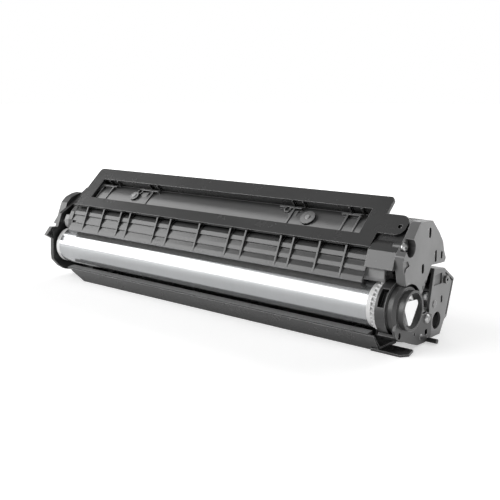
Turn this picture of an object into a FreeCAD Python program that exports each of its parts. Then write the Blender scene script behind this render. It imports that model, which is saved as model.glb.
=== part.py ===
import FreeCAD, Part
import math
import os
import types
import Sketcher

# A toner cartridge in two halves. The drum unit carries the drum, the charge roller, the wiper
# and the waste bin. The developer unit carries the hopper, the developer roller and the gears,
# and swings on two pins below the drum. Lengths are millimetres: X runs along the drum, Y to
# the back and Z up. Every body is drawn about the drum's axis, with X from the drum's middle,
# and its Placement then stands the cartridge on its own floor.

# Driving dimensions. An angle is in degrees, from the back (+Y) towards the top (+Z).
SIZES = {
    # the drum
    "drum_radius": 12.0,
    "drum_wall": 0.75,
    "drum_span": 252.0,
    "left_ring_width": 3.3,
    "drive_ring_width": 2.4,
    "flange_plug_depth": 8.0,
    "flange_wall": 1.6,
    "drum_teeth": 30,
    "drum_gear_width": 4.6,
    "hub_inset": 2.85,
    "hub_length": 8.5,
    "coupling_inset": 1.25,
    "coupling_corner": 2.2,
    "coupling_length": 3.2,
    "coupling_turn": 18.0,
    "coupling_layers": 4,
    "corner_facets": 6,
    "coupling_angle": 25.0,
    "drum_pin_radius": 3.0,
    "drum_pin_reach": 10.0,
    # fits and clearances
    "running_fit": 0.05,
    "press_fit": 0.02,
    "body_gap": 0.3,
    # the charge roller and the wiper
    "charge_rubber_radius": 4.25,
    "charge_shaft_radius": 3.0,
    "charge_angle": 93.5,
    "charge_rubber_left": 18.0,
    "charge_rubber_right": 11.0,
    "charge_shaft_over": 4.0,
    "charge_bush_radius": 4.2,
    "charge_bush_foot": 3.4,
    "charge_bush_head": 5.3,
    "charge_bush_length": 12.0,
    "wiper_gap": 0.35,
    "wiper_angle": 108.0,
    # the bearing at the drive end
    "bearing_overlap": 0.7,
    "bearing_shell_wall": 1.4,
    "bearing_shell_length": 5.7,
    "bearing_step_inset": 1.5,
    "bearing_step_length": 3.3,
    "bearing_plate": 1.5,
    "collar_wall": 1.2,
    "collar_flare": 1.1,
    "collar_length": 3.4,
    "shell_notch_start": 1.4,
    "shell_notch_depth": 3.0,
    "stop_pin_radius": 1.25,
    "stop_pin_length": 5.8,
    # the waste bin, its frame and the window frame
    "frame_left_inset": 12.0,
    "frame_right_inset": 4.0,
    "frame_wall": 1.6,
    "rib_thickness": 1.0,
    "bracket_width": 3.8,
    "rib_step_one": 24.5,
    "rib_step_two": 36.3,
    "rib_inset_one": 13.8,
    "rib_inset_two": 30.4,
    "rib_inset_three": 47.7,
    "rib_inset_four": 56.5,
    "cover_arc": 30.0,
    "cover_wall": 1.5,
    "plate_tilt": 41.9,
    "plate_front_y": -3.0,
    "plate_front_rise": 18.1,
    "plate_width": 33.9,
    "plate_thickness": 1.8,
    "plate_left_inset": 11.0,
    "plate_right_inset": 4.5,
    "tongue_length": 14.5,
    "tongue_start": 9.5,
    "tongue_end": 22.4,
    "tongue_round": 5.0,
    "tongue_hole_radius": 1.3,
    "plate_corner_round": 2.5,
    "window_left_margin": 10.5,
    "window_right_margin": 9.8,
    "window_start": 7.7,
    "window_width": 16.9,
    "window_wall": 1.2,
    "window_wall_depth": 5.8,
    "window_wall_over": 7.5,
    "web_thickness": 0.9,
    "web_reach": 1.1,
    "web_lift": 0.5,
    "web_step_one": 55.2,
    "web_step_two": 62.6,
    "web_inset_one": 6.3,
    "web_inset_two": 14.1,
    "leg_step": 57.8,
    "leg_left_inset_one": 1.6,
    "leg_left_inset_two": 11.4,
    "leg_drop": 2.2,
    "shelf_place": 20.4,
    "socket_left_x": 65.2,
    "socket_right_x": 57.4,
    "socket_place": 19.4,
    "socket_radius": 2.4,
    "socket_bore": 1.6,
    "socket_height": 2.6,
    "block_drop": 3.0,
    "block_height": 1.8,
    "block_lap": 0.5,
    "block_reach": 7.5,
    "block_start": 15.2,
    "boss_left_x": 66.8,
    "boss_left_radius": 3.3,
    "boss_right_x": 74.5,
    "boss_right_radius": 4.5,
    "boss_length": 4.4,
    "boss_slope_place": 14.5,
    "boss_drop": 1.2,
    "boss_pin_lift": 0.5,
    "boss_pin_radius": 1.4,
    # the end caps
    "cap_clear": 0.2,
    "cap_depth": 5.3,
    "cap_round": 1.2,
    "cap_screw_radius": 2.5,
    "cap_screw_pocket": 4.6,
    "cap_screw_sink": 4.5,
    "cap_screw_bite": 5.0,
    "cap_slot_depth": 2.0,
    "cap_step": 0.8,
    "left_plate_gap": 2.5,
    "left_plate": 3.0,
    "tab_hollow_depth": 1.6,
    "left_cap_depth": 6.5,
    "screw_shank_radius": 1.3,
    "screw_head": 1.6,
    # the developer roller
    "roller_angle": -10.0,
    "roller_teeth": 21,
    "sleeve_gap": 0.35,
    "sleeve_wall": 0.8,
    "sleeve_left_inset": 14.0,
    "sleeve_right_inset": 13.0,
    "spacer_width": 4.0,
    "spacer_over": 0.05,
    "core_gap": 0.6,
    "roller_shaft_radius": 3.0,
    "core_shaft_radius": 2.0,
    "bush_wall": 1.4,
    # the gears
    "gear_lead": 1.2,
    "tooth_backlash": 0.22,
    "gear_inset": 0.5,
    "roller_gear_width": 3.0,
    "idler_teeth": 14,
    "idler_angle": 31.0,
    "idler_post_radius": 2.0,
    "agitator_teeth": 18,
    "agitator_angle": -55.0,
    "agitator_shaft_radius": 2.0,
    "agitator_film_reach": 7.8,
    "agitator_film_thickness": 0.6,
    # the hopper and its covers
    "hopper_inset": 8.0,
    "hopper_end_wall": 2.0,
    "hopper_depth": 19.06,
    "nest_radius": 9.0,
    "nest_wall": 1.6,
    "neck_inset": 12.0,
    "slope_angle": 30.0,
    "slope_height": 11.1,
    "doctor_thickness": 0.8,
    "doctor_bracket": 1.2,
    "cover_skin": 1.6,
    "cover_groove": 1.0,
    "face_hole_radius": 4.8,
    "face_pin_radius": 1.9,
    "face_pin_rise": 0.4,
    "face_boss_radius": 2.3,
    "face_boss_bore": 0.9,
    "face_boss_rise": 1.8,
    "skirt_inset": 1.5,
    "hinge_pin_radius": 1.5,
    "hinge_boss_depth": 8.0,
    "guard_thickness": 1.8,
    "guard_left_inset": 15.0,
    "guard_right_over": 5.0,
    "guard_chamfer": 8.0,
    "guard_tab_end": 21.0,
    "seal_thickness": 0.8,
    "fill_plug_radius": 7.0,
    "fill_plug_depth": 4.0,
}

# Corners of the drum unit: Y from the drum's axis, Z from the top of the drum.
UPPER_CORNERS = {
    "bay_top": (0.8, 16.8),
    "bay_bend": (-3.6, 13.6),
    "ridge_high": (-4.8, 11.4),
    "ridge_high_back": (-4.0, 11.2),
    "bay_waist": (-6.3, 8.3),
    "ridge_low": (-7.4, 6.3),
    "ridge_low_back": (-6.8, 6.1),
    "bay_foot": (-9.0, 3.6),
    "lip_front": (-10.4, 1.4),
    "lip_tip": (-9.6, 0.6),
    "lip_back": (-8.85, 1.3),
    "nest_front": (-6.6, 6.0),
    "nest_roof_front": (-4.6, 10.2),
    "nest_roof_back": (4.2, 10.2),
    "nest_foot_back": (4.2, 1.2),
    "slot_front": (8.5, 2.3),
    "slot_middle": (20.0, 5.2),
    "panel_foot_back": (4.2, 4.0),
    "panel_slot_front": (9.5, 2.8),
    "slot_back": (34.0, 8.2),
    "lobe_back": (36.2, 13.0),
    "lobe_split": (34.6, 18.0),
    "hollow_split": (33.0, 18.0),
    "hollow_back": (34.5, 13.0),
    "hollow_low_back": (32.6, 9.6),
    "hollow_middle": (19.8, 6.9),
    "hollow_low_front": (5.8, 4.6),
    "hollow_step": (5.8, 11.8),
    "hollow_front_low": (-2.2, 11.8),
    "hollow_front": (-2.6, 12.4),
    "hollow_front_high": (1.6, 15.4),
    "ledge": (4.0, 16.8),
    "rim_inner": (2.3, 16.8),
    "rib_front_top": (-3.45, 17.3),
    "rib_back_top": (-1.9, 16.5),
    "cover_front": (2.4, 18.2),
    "cover_peak": (22.0, 30.7),
    "cover_shoulder": (30.0, 23.2),
    "cover_inner_shoulder": (28.9, 22.0),
    "cover_inner_peak": (21.7, 29.1),
    "cover_inner_front": (4.0, 17.9),
    "panel_top": (-5.0, 17.3),
    "panel_foot": (-8.6, 8.8),
    "panel_back": (-6.2, 8.6),
    "panel_crest": (-0.5, 19.8),
    "panel_crest_back": (3.0, 21.0),
    "panel_rise": (10.0, 27.2),
    "cap_crest_front": (9.4, 31.4),
    "cap_crest_back": (21.9, 30.7),
    "cap_shoulder": (30.0, 23.4),
    "cap_back_high": (34.6, 18.0),
    "cap_back": (36.2, 13.0),
    "cap_lug_top": (38.7, 8.5),
    "cap_lug_foot": (37.4, 6.5),
    "cap_foot_back": (31.7, 6.7),
    "cap_foot_middle": (22.6, 7.3),
    "cap_foot_front": (14.1, -5.3),
    "cap_front_low": (-5.4, 8.3),
    "cap_front": (-6.5, 16.0),
    "cap_front_high": (2.7, 24.1),
    "cap_screw": (0.3, 19.3),
    "cap_slot": (27.0, 11.3),
    "cap_slot_back": (33.6, 10.9),
    "cap_slot_low": (13.3, 6.8),
    "cap_hole_top": (19.6, 24.6),
    "cap_slot_small": (16.3, -0.7),
    "cap_slot_foot": (14.3, -3.3),
    "step_outer_top": (-12.0, 14.6),
    "step_top": (-2.6, 13.4),
    "step_crest": (-0.9, 10.7),
    "step_high": (-4.1, 9.7),
    "step_side": (-5.0, 7.4),
    "step_side_low": (-4.4, 3.6),
    "step_foot": (-2.4, -1.0),
    "step_outer_foot": (-12.0, -1.0),
    "left_face_top": (2.9, 16.7),
    "left_face_bend": (-1.1, 7.0),
    "left_face_foot": (-4.8, 2.5),
    "left_band_one": (6.8, 20.2),
    "left_band_two": (12.4, 22.2),
    "left_band_three": (16.5, 22.8),
    "left_band_end": (20.6, 21.9),
    "left_cap_back": (22.0, 14.0),
    "left_cap_low_back": (18.0, 5.5),
    "left_cap_low": (4.0, 1.8),
    "left_gap_front": (7.5, 17.0),
    "left_gap_top": (11.0, 19.3),
    "left_gap_back": (17.6, 20.0),
    "left_gap_low": (16.0, 16.8),
    "bracket_front_high": (-4.4, 13.0),
    "bracket_front_bend": (-7.0, 8.0),
    "bracket_front_low": (-7.6, 2.2),
    "bracket_back_low": (-6.4, 2.0),
    "bracket_back_bend": (-5.8, 7.5),
    "bracket_roof_front": (-4.4, 10.3),
    "bracket_roof_back": (6.0, 10.3),
    "bracket_crest": (-1.0, 16.0),
    "bracket_hole_low": (-9.0, 6.0),
    "bracket_hole_high": (-5.4, 7.5),
    "left_block_front": (6.0, 2.5),
    "left_block_high": (6.0, 16.0),
    "left_block_peak": (21.0, 26.0),
    "left_block_back": (33.0, 17.0),
    "left_block_low": (32.0, 8.5),
    "side_waist": (18.0, 7.5),
}

# Corners of the end plates: from the drum's axis.
DRUM_CORNERS = {
    "tab_tip": (-17.9, 8.5),
    "tab_top": (-13.1, 13.8),
    "tab_back": (-8.2, 13.2),
    "tab_foot": (-12.6, 5.3),
    "side_front": (-13.2, -5.6),
    "side_low": (-12.8, -9.5),
    "side_low_bend": (-8.2, -14.7),
    "side_foot": (-3.7, -17.7),
    "foot_front": (-12.0, -8.5),
    "foot_front_low": (-10.5, -12.5),
    "foot_low_one": (-6.5, -15.3),
    "foot_low_two": (-1.0, -16.8),
    "foot_low_three": (6.0, -19.6),
    "foot_socket": (-7.1, -12.1),
    "foot_notch": (8.6, -15.0),
    "tab_hollow_front": (-16.0, 8.9),
    "tab_hollow_top": (-13.0, 12.0),
    "tab_hollow_foot": (-12.6, 7.2),
    "block_back": (9.0, -13.2),
    "block_front": (-9.5, -11.4),
    "guard_lip": (-12.2, -13.4),
    "guard_lip_back": (-11.2, -13.0),
    "guard_bend": (-6.6, -22.6),
    "guard_bend_back": (-5.4, -20.8),
}

# Corners of the developer unit: from the developer roller's axis.
HOPPER_CORNERS = {
    "hopper_top_front": (10.4, 18.8),
    "hopper_top": (22.9, 17.5),
    "hopper_top_back": (35.4, 10.0),
    "hopper_back": (37.4, 5.5),
    "hopper_back_low": (30.9, -11.5),
    "hopper_foot_back": (23.4, -19.06),
    "hopper_foot_front": (11.2, -19.06),
    "chamber_front_foot": (9.1, -17.26),
    "lid_inner_front": (10.4, 16.8),
    "lid_inner_top": (22.4, 15.5),
    "lid_inner_back": (33.6, 8.8),
    "lid_rim": (38.1, 8.7),
    "lid_rim_low": (37.3, 5.9),
    "chamber_front": (11.9, 16.7),
    "chamber_back": (34.9, 5.0),
    "chamber_back_low": (28.9, -10.5),
    "chamber_foot_back": (22.4, -17.06),
    "chamber_foot_front": (12.9, -17.06),
    "chamber_neck": (10.4, -8.5),
    "cover_top_front": (11.3, 19.0),
    "cover_top": (22.8, 17.5),
    "cover_top_back": (35.0, 9.6),
    "cover_back": (28.0, -10.8),
    "cover_back_bend": (25.4, -11.8),
    "cover_foot_back": (20.8, -19.06),
    "cover_foot_front": (-0.1, -18.4),
    "cover_hinge_foot": (-7.6, -17.26),
    "cover_hinge_top": (-7.6, -12.0),
    "cover_hinge_back": (-1.6, -11.5),
    "cover_gap_low": (7.3, -8.5),
    "cover_gap_high": (7.3, -0.5),
    "skirt_rim": (38.1, 8.7),
    "skirt_back": (31.1, -11.8),
    "skirt_bend": (28.5, -12.8),
    "skirt_foot": (23.4, -19.06),
    "hinge": (-4.59, -14.26),
    "core_nose": (-8.7, -6.0),
    "core_brow": (-6.4, 9.1),
    "face_hole": (16.0, -10.4),
    "face_slot": (21.0, 0.5),
    "face_pin": (12.6, -0.6),
    "face_boss": (23.6, 11.0),
    "face_window_low": (11.7, 9.4),
    "face_window_high": (20.4, 15.4),
    "groove_top": (24.2, 15.2),
    "groove_corner": (33.9, 9.0),
    "groove_foot": (27.5, -9.6),
    "groove_foot_inner": (26.4, -9.2),
    "groove_corner_inner": (32.6, 8.4),
    "groove_top_inner": (23.8, 13.9),
    "fill_centre": (20.4, -2.5),
}

# Corners of the bearing plate's lobe: from the hinge pin.
LOBE_CORNERS = {
    "lobe_front": (-3.5, -3.8),
    "lobe_foot_front": (4.1, -4.2),
    "lobe_foot": (9.5, -3.7),
    "lobe_foot_back": (11.5, -2.2),
    "lobe_top_back": (11.5, 9.8),
    "lobe_top": (6.0, 12.0),
    "lobe_neck": (-1.5, 11.6),
    "lobe_screw": (5.4, 8.6),
    "side_lobe_back": (4.1, 4.0),
    "side_lobe_high": (-1.0, 12.0),
    "lobe_square": (5.6, 1.3),
    "lobe_stop_pin": (7.5, -3.3),
}

document = FreeCAD.newDocument("toner_cartridge")
sheet = document.addObject("Spreadsheet::Sheet", "sizes")


def fill_sheet():
    """Writes every driving dimension to a cell of its own, with an alias."""
    cells = dict(SIZES)
    for corners in (UPPER_CORNERS, DRUM_CORNERS, HOPPER_CORNERS, LOBE_CORNERS):
        for name, (y, z) in corners.items():
            cells[name + "_y"] = y
            cells[name + "_z"] = z
    for row, (alias, number) in enumerate(cells.items(), start=1):
        sheet.set(f"A{row}", alias)
        sheet.set(f"B{row}", str(number))
        sheet.setAlias(f"B{row}", alias)
    document.recompute()


class Size:
    """A length, angle or count: its number now, and the sheet formula that gives it."""

    def __init__(self, number, formula):
        self.number = number
        self.formula = formula

    @staticmethod
    def of(other):
        return other if isinstance(other, Size) else Size(float(other), f"({float(other)})")

    def __add__(self, other):
        other = Size.of(other)
        return Size(self.number + other.number, f"({self.formula} + {other.formula})")

    def __sub__(self, other):
        other = Size.of(other)
        return Size(self.number - other.number, f"({self.formula} - {other.formula})")

    def __mul__(self, other):
        other = Size.of(other)
        return Size(self.number * other.number, f"({self.formula} * {other.formula})")

    def __truediv__(self, other):
        other = Size.of(other)
        return Size(self.number / other.number, f"({self.formula} / {other.formula})")

    def __neg__(self):
        return Size.of(0.0) - self

    def __rsub__(self, other):
        return Size.of(other) - self

    __radd__ = __add__
    __rmul__ = __mul__


def cell(alias):
    """A driving dimension, read back from the sheet."""
    return Size(float(sheet.get(alias)), "sizes." + alias)


def cosine(angle):
    return Size(math.cos(math.radians(angle.number)), f"cos({angle.formula})")


def sine(angle):
    return Size(math.sin(math.radians(angle.number)), f"sin({angle.formula})")


def tangent(angle):
    return sine(angle) / cosine(angle)


def polar(radius, angle, centre=(0.0, 0.0)):
    """The point at a radius and an angle from a centre, in Y and Z."""
    angle = Size.of(angle)
    return (centre[0] + radius * cosine(angle), centre[1] + radius * sine(angle))


def shifted(point, y, z):
    return (point[0] + y, point[1] + z)


fill_sheet()
d = types.SimpleNamespace(**{alias: cell(alias) for alias in SIZES})

# Places along X, from the middle of the drum.
half = d.drum_span / 2
hub_radius = d.drum_radius - d.hub_inset
hub_bore = hub_radius + d.running_fit
collar_radius = hub_bore + d.collar_wall
collar_root_radius = collar_radius + d.collar_flare
tube_left = d.left_ring_width - half
ring_end = half + d.drive_ring_width
gear_end = ring_end + d.drum_gear_width
hub_end = gear_end + d.hub_length
coupling_end = hub_end + d.coupling_length
bearing_start = gear_end - d.bearing_overlap
shell_end = bearing_start + d.bearing_shell_length
bearing_plate_start = shell_end + d.bearing_step_length
bearing_plate_end = bearing_plate_start + d.bearing_plate
collar_end = bearing_plate_end + d.collar_length
stop_pin_end = bearing_plate_end + d.stop_pin_length
frame_left = d.frame_left_inset - half
frame_right = half - d.frame_right_inset
frame_middle = (frame_left + frame_right) / 2
frame_end = shell_end + d.cap_clear
cap_face = frame_end + d.cap_depth
left_plate_inner = -half - d.left_plate_gap
left_plate_outer = left_plate_inner - d.left_plate
left_cap_outer = left_plate_outer - d.left_cap_depth
hopper_left = d.hopper_inset - half
hopper_right = half - d.hopper_inset
plate_left = d.plate_left_inset - half
plate_right = half - d.plate_right_inset
window_left = plate_left + d.window_left_margin
window_right = plate_right - d.window_right_margin
window_end = d.window_start + d.window_width
gear_cover_face = bearing_plate_start - d.body_gap
left_cover_outer = left_plate_inner + d.body_gap
sleeve_left = d.sleeve_left_inset - half
sleeve_right = half - d.sleeve_right_inset
gear_start = ring_end + d.gear_inset
roller_gear_end = gear_start + d.roller_gear_width

# Axes of the rollers and gears, in Y and Z from the drum's axis.
gear_module = d.drum_radius * 2 / d.drum_teeth
shell_bore = gear_module * (d.drum_teeth + 2) / 2 + d.body_gap
shell_radius = shell_bore + d.bearing_shell_wall
step_radius = shell_radius - d.bearing_step_inset
roller_distance = gear_module * (d.drum_teeth + d.roller_teeth) / 2
roller_axis = polar(roller_distance, d.roller_angle)
sleeve_radius = roller_distance - d.drum_radius - d.sleeve_gap
idler_axis = polar(gear_module * (d.roller_teeth + d.idler_teeth) / 2, d.idler_angle, roller_axis)
agitator_axis = polar(
    gear_module * (d.idler_teeth + d.agitator_teeth) / 2, d.agitator_angle, idler_axis)
charge_distance = d.drum_radius + d.body_gap + d.charge_rubber_radius
charge_axis = polar(charge_distance, d.charge_angle)


def corner(name):
    """A named corner, in Y and Z from the drum's axis."""
    place = (cell(name + "_y"), cell(name + "_z"))
    if name in UPPER_CORNERS:
        return (place[0], place[1] + d.drum_radius)
    if name in HOPPER_CORNERS:
        return (place[0] + roller_axis[0], place[1] + roller_axis[1])
    if name in LOBE_CORNERS:
        hinge = corner("hinge")
        return (place[0] + hinge[0], place[1] + hinge[1])
    return place


def corners(*names):
    return [corner(name) for name in names]


hinge_axis = corner("hinge")
floor_level = roller_axis[1] - d.hopper_depth

# The origin is the middle of the footprint, on the floor.
origin_x = (stop_pin_end + left_cap_outer) / 2
origin_y = (corner("skirt_rim")[0] + corner("tab_tip")[0]) / 2
origin_z = floor_level

PIECES = []


def bind(thing, name, size):
    """Sets a property of an object and binds it to the sheet."""
    thing.setExpression(name, Size.of(size).formula)


def stand(thing):
    """Moves a sub-part from the drum's axis to the part's own origin."""
    bind(thing, "Placement.Base.x", -origin_x)
    bind(thing, "Placement.Base.y", -origin_y)
    bind(thing, "Placement.Base.z", -origin_z)


class Arc:
    """In an outline, the next edge is an arc of this radius; left is counter-clockwise."""

    def __init__(self, radius, left=True):
        self.radius = radius
        self.left = left


def arc_centre(start, end, radius, left):
    """The centre of the short arc from start to end."""
    along = (end[0] - start[0], end[1] - start[1])
    chord = math.hypot(*along)
    reach = math.sqrt(max(radius * radius - chord * chord / 4, 0.0)) / chord
    side = 1 if left else -1
    middle = ((start[0] + end[0]) / 2, (start[1] + end[1]) / 2)
    return (middle[0] - side * along[1] * reach, middle[1] + side * along[0] * reach)


def draw_outline(sketch, outline):
    """Draws one closed outline and binds its corners and arcs to the sheet."""
    points = []
    arcs = {}
    for entry in outline:
        if isinstance(entry, Arc):
            arcs[len(points) - 1] = entry
        else:
            points.append((Size.of(entry[0]), Size.of(entry[1])))
    count = len(points)
    edges = []
    for i, point in enumerate(points):
        start = (point[0].number, point[1].number)
        following = points[(i + 1) % count]
        end = (following[0].number, following[1].number)
        if i not in arcs:
            line = Part.LineSegment(FreeCAD.Vector(*start, 0), FreeCAD.Vector(*end, 0))
            edges.append((sketch.addGeometry(line, False), 1, 2))
            continue
        radius = Size.of(arcs[i].radius)
        centre = arc_centre(start, end, radius.number, arcs[i].left)
        circle = Part.Circle(FreeCAD.Vector(*centre, 0), FreeCAD.Vector(0, 0, 1), radius.number)
        first, last = (start, end) if arcs[i].left else (end, start)
        angles = [math.atan2(p[1] - centre[1], p[0] - centre[0]) for p in (first, last)]
        index = sketch.addGeometry(Part.ArcOfCircle(circle, *angles), False)
        edges.append((index, 1, 2) if arcs[i].left else (index, 2, 1))
        rule = sketch.addConstraint(Sketcher.Constraint("Radius", index, radius.number))
        bind(sketch, f"Constraints[{rule}]", radius)
    for i, (index, start, end) in enumerate(edges):
        following = edges[(i + 1) % count]
        sketch.addConstraint(Sketcher.Constraint("Coincident", index, end, following[0], following[1]))
    for (index, start, end), point in zip(edges, points):
        pin_point(sketch, index, start, point)


def pin_point(sketch, index, vertex, point):
    """Ties one point of a sketch to a place in the sheet."""
    for kind, size in zip(("DistanceX", "DistanceY"), point):
        size = Size.of(size)
        rule = sketch.addConstraint(Sketcher.Constraint(kind, -1, 1, index, vertex, size.number))
        bind(sketch, f"Constraints[{rule}]", size)


def draw_circle(sketch, centre, radius):
    centre = (Size.of(centre[0]), Size.of(centre[1]))
    radius = Size.of(radius)
    middle = FreeCAD.Vector(centre[0].number, centre[1].number, 0)
    index = sketch.addGeometry(Part.Circle(middle, FreeCAD.Vector(0, 0, 1), radius.number), False)
    pin_point(sketch, index, 3, centre)
    rule = sketch.addConstraint(Sketcher.Constraint("Radius", index, radius.number))
    bind(sketch, f"Constraints[{rule}]", radius)


class Circle:
    def __init__(self, centre, radius):
        self.centre = centre
        self.radius = radius


def rectangle(low, high):
    return [low, (high[0], low[1]), high, (low[0], high[1])]


def slot(centre, half_width, half_height):
    """An upright slot with chamfered ends."""
    shoulder = half_height - half_width * 0.6
    crown = half_width * 0.4
    return [shifted(centre, y, z) for y, z in (
        (-half_width, -shoulder), (-crown, -half_height), (crown, -half_height),
        (half_width, -shoulder), (half_width, shoulder), (crown, half_height),
        (-crown, half_height), (-half_width, shoulder))]


class Piece:
    """One sub-part as a body, its features drawn in coordinates of the drum's axis."""

    def __init__(self, label):
        self.label = label
        self.body = document.addObject("PartDesign::Body", label)
        self.body.Label = label
        self.body.AllowCompound = True
        stand(self.body)
        PIECES.append(self.body)

    def sketch(self, role, shift, outlines, tilt=None):
        """A sketch on a plane of the body, shifted in the plane's own axes."""
        made = self.body.newObject("Sketcher::SketchObject", self.label + "_sketch")
        plane = [f for f in self.body.Origin.OriginFeatures if f.Role == role][0]
        made.AttachmentSupport = [(plane, "")]
        made.MapMode = "FlatFace"
        if tilt is not None:
            turn = FreeCAD.Rotation(FreeCAD.Vector(1, 0, 0), tilt.number)
            made.AttachmentOffset = FreeCAD.Placement(FreeCAD.Vector(), turn)
            bind(made, "AttachmentOffset.Rotation.Angle", tilt)
        for axis, size in zip("xyz", shift):
            bind(made, "AttachmentOffset.Base." + axis, size)
        for outline in outlines:
            if isinstance(outline, Circle):
                draw_circle(made, outline.centre, outline.radius)
            else:
                draw_outline(made, outline)
        return made

    def section(self, x, *outlines):
        """Outlines in Y and Z, across the drum, at a place along X."""
        return self.sketch("YZ_Plane", (0, 0, x), outlines)

    def plan(self, z, *outlines):
        """Outlines in X and Y, seen from above."""
        return self.sketch("XY_Plane", (0, 0, z), outlines)

    def front(self, y, *outlines):
        """Outlines in X and Z, seen from the front."""
        return self.sketch("XZ_Plane", (0, 0, 0 - y), outlines)

    def pad(self, sketch, length, forward=True):
        made = self.body.newObject("PartDesign::Pad", self.label + "_pad")
        made.Profile = sketch
        made.Reversed = not forward
        bind(made, "Length", length)
        self.body.Tip = made
        return made

    def cut(self, sketch, length, forward=True):
        made = self.body.newObject("PartDesign::Pocket", self.label + "_cut")
        made.Profile = sketch
        made.Reversed = forward
        bind(made, "Length", length)
        self.body.Tip = made
        return made

    def prism(self, start, end, *outlines):
        """A pad of outlines in Y and Z, from one place along X to another."""
        return self.pad(self.section(start, *outlines), end - start)

    def recess(self, start, end, *outlines):
        """A cut of outlines in Y and Z, from one place along X to another."""
        return self.cut(self.section(start, *outlines), end - start)

    def turn(self, centre, *outlines):
        """Outlines in X and radius, turned about an axis along X."""
        profile = self.sketch("XY_Plane", (0, centre[0], centre[1]), outlines)
        made = self.body.newObject("PartDesign::Revolution", self.label + "_turn")
        made.Profile = profile
        made.ReferenceAxis = (profile, ["H_Axis"])
        made.Angle = 360
        self.body.Tip = made
        return made

    def bore(self, centre, start, end, radius):
        """A round hole along X."""
        return self.recess(start, end, Circle(centre, radius))

    def round_edges(self, radius, places):
        """Rounds the edges along X that pass through the given places in Y and Z."""
        document.recompute()
        base = self.body.Tip
        names = []
        for number, edge in enumerate(base.Shape.Edges, start=1):
            ends = [vertex.Point for vertex in edge.Vertexes]
            if len(ends) == 2 and is_along_x(ends) and passes(ends[0], places):
                names.append(f"Edge{number}")
        made = self.body.newObject("PartDesign::Fillet", self.label + "_round")
        made.Base = (base, names)
        bind(made, "Radius", radius)
        self.body.Tip = made
        return made


def is_along_x(ends):
    across = math.hypot(ends[0].y - ends[1].y, ends[0].z - ends[1].z)
    return across < 1e-4 < abs(ends[0].x - ends[1].x)


def passes(point, places):
    return any(
        math.hypot(point.y - Size.of(y).number, point.z - Size.of(z).number) < 1e-3
        for y, z in places)


def ring(start, end, outer, inner):
    """The profile of a ring or tube, in X and radius."""
    return rectangle((start, inner), (end, outer))


def gear_points(teeth, module, phase, x):
    """The outline of a gear with straight flanks, in the plane at a place along its axis."""
    pitch_radius = module * teeth / 2
    tip_radius = pitch_radius + module
    root_radius = pitch_radius - 1.25 * module
    tooth = math.pi / teeth - d.tooth_backlash.number / (2 * pitch_radius)
    flank = module * math.tan(math.radians(20)) / pitch_radius
    half_angles = (
        (root_radius, tooth / 2 + 1.25 * flank),
        (tip_radius, tooth / 2 - flank))
    points = []
    for number in range(teeth):
        middle = phase + 2 * math.pi * number / teeth
        left = [(radius, middle - angle) for radius, angle in half_angles]
        right = [(radius, middle + angle) for radius, angle in reversed(half_angles)]
        for radius, angle in left + right:
            points.append(FreeCAD.Vector(radius * math.cos(angle), radius * math.sin(angle), x))
    return points


def flat_face(*points):
    return Part.Face(Part.makePolygon(list(points) + [points[0]]))


def faceted(rings):
    """A solid with flat facets between rings of as many points, and flat ends."""
    faces = [flat_face(*rings[0]), flat_face(*rings[-1])]
    for lower, upper in zip(rings, rings[1:]):
        for i, near in enumerate(lower):
            following = (i + 1) % len(lower)
            faces.append(flat_face(near, lower[following], upper[following]))
            faces.append(flat_face(near, upper[following], upper[i]))
    shell = Part.makeShell(faces)
    shell.sewShape()
    return Part.makeSolid(shell)


def gear_shape(teeth, start, width, bore, phase, hand):
    """A helical gear on the X axis; its phase is the angle of a tooth at the drum gear's start."""
    pitch_radius = gear_module.number * teeth / 2
    lead = hand * d.gear_lead.number / (d.drum_gear_width.number * pitch_radius)
    blank = faceted([
        gear_points(teeth, gear_module.number, phase + lead * (x - ring_end.number), x)
        for x in (start, start + width)])
    if bore > 0:
        hole = Part.makeCylinder(bore, width + 2, FreeCAD.Vector(0, 0, start - 1))
        blank = blank.cut(hole)
    return onto_x_axis(blank)


def onto_x_axis(shape):
    """Turns a shape drawn about Z so that its axis is X and its own X becomes Y."""
    turn = FreeCAD.Rotation(FreeCAD.Vector(1, 1, 1), 120)
    return shape.transformed(FreeCAD.Placement(FreeCAD.Vector(), turn).toMatrix(), copy=True)


def shape_piece(label, shape, kept=True):
    """A sub-part whose shape is worked out above from the sheet's values."""
    made = document.addObject("Part::Feature", label)
    made.Label = label
    made.Shape = shape
    if kept:
        stand(made)
        PIECES.append(made)
    return made


def moved(shape, axis):
    """A shape drawn about the X axis, moved to an axis of the cartridge."""
    step = FreeCAD.Matrix()
    step.move(FreeCAD.Vector(0, axis[0].number, axis[1].number))
    return shape.transformed(step, copy=True)


def meshed_phase(driver_teeth, driver_phase, angle, teeth):
    """The phase of a gear whose teeth fill the gaps of its driver, seen at an angle."""
    facing = math.radians(angle)
    driver_part = (facing - driver_phase) * driver_teeth / (2 * math.pi)
    return facing + math.pi - 2 * math.pi / teeth * (0.5 - driver_part)


def make_drum():
    tube = Piece("drum_tube")
    tube.turn((0, 0), ring(tube_left, half, d.drum_radius, d.drum_radius - d.drum_wall))

    inner = d.drum_radius - d.drum_wall - d.press_fit
    plug_end = tube_left + d.flange_plug_depth
    bore = d.drum_pin_radius + d.running_fit
    left = Piece("left_flange")
    left.turn((0, 0), [
        (-half, bore), (plug_end, bore), (plug_end, bore + d.flange_wall),
        (tube_left + d.flange_wall, inner - d.flange_wall), (plug_end, inner - d.flange_wall),
        (plug_end, inner), (tube_left, inner), (tube_left, d.drum_radius), (-half, d.drum_radius)])
    return make_drive_flange(inner)


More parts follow.
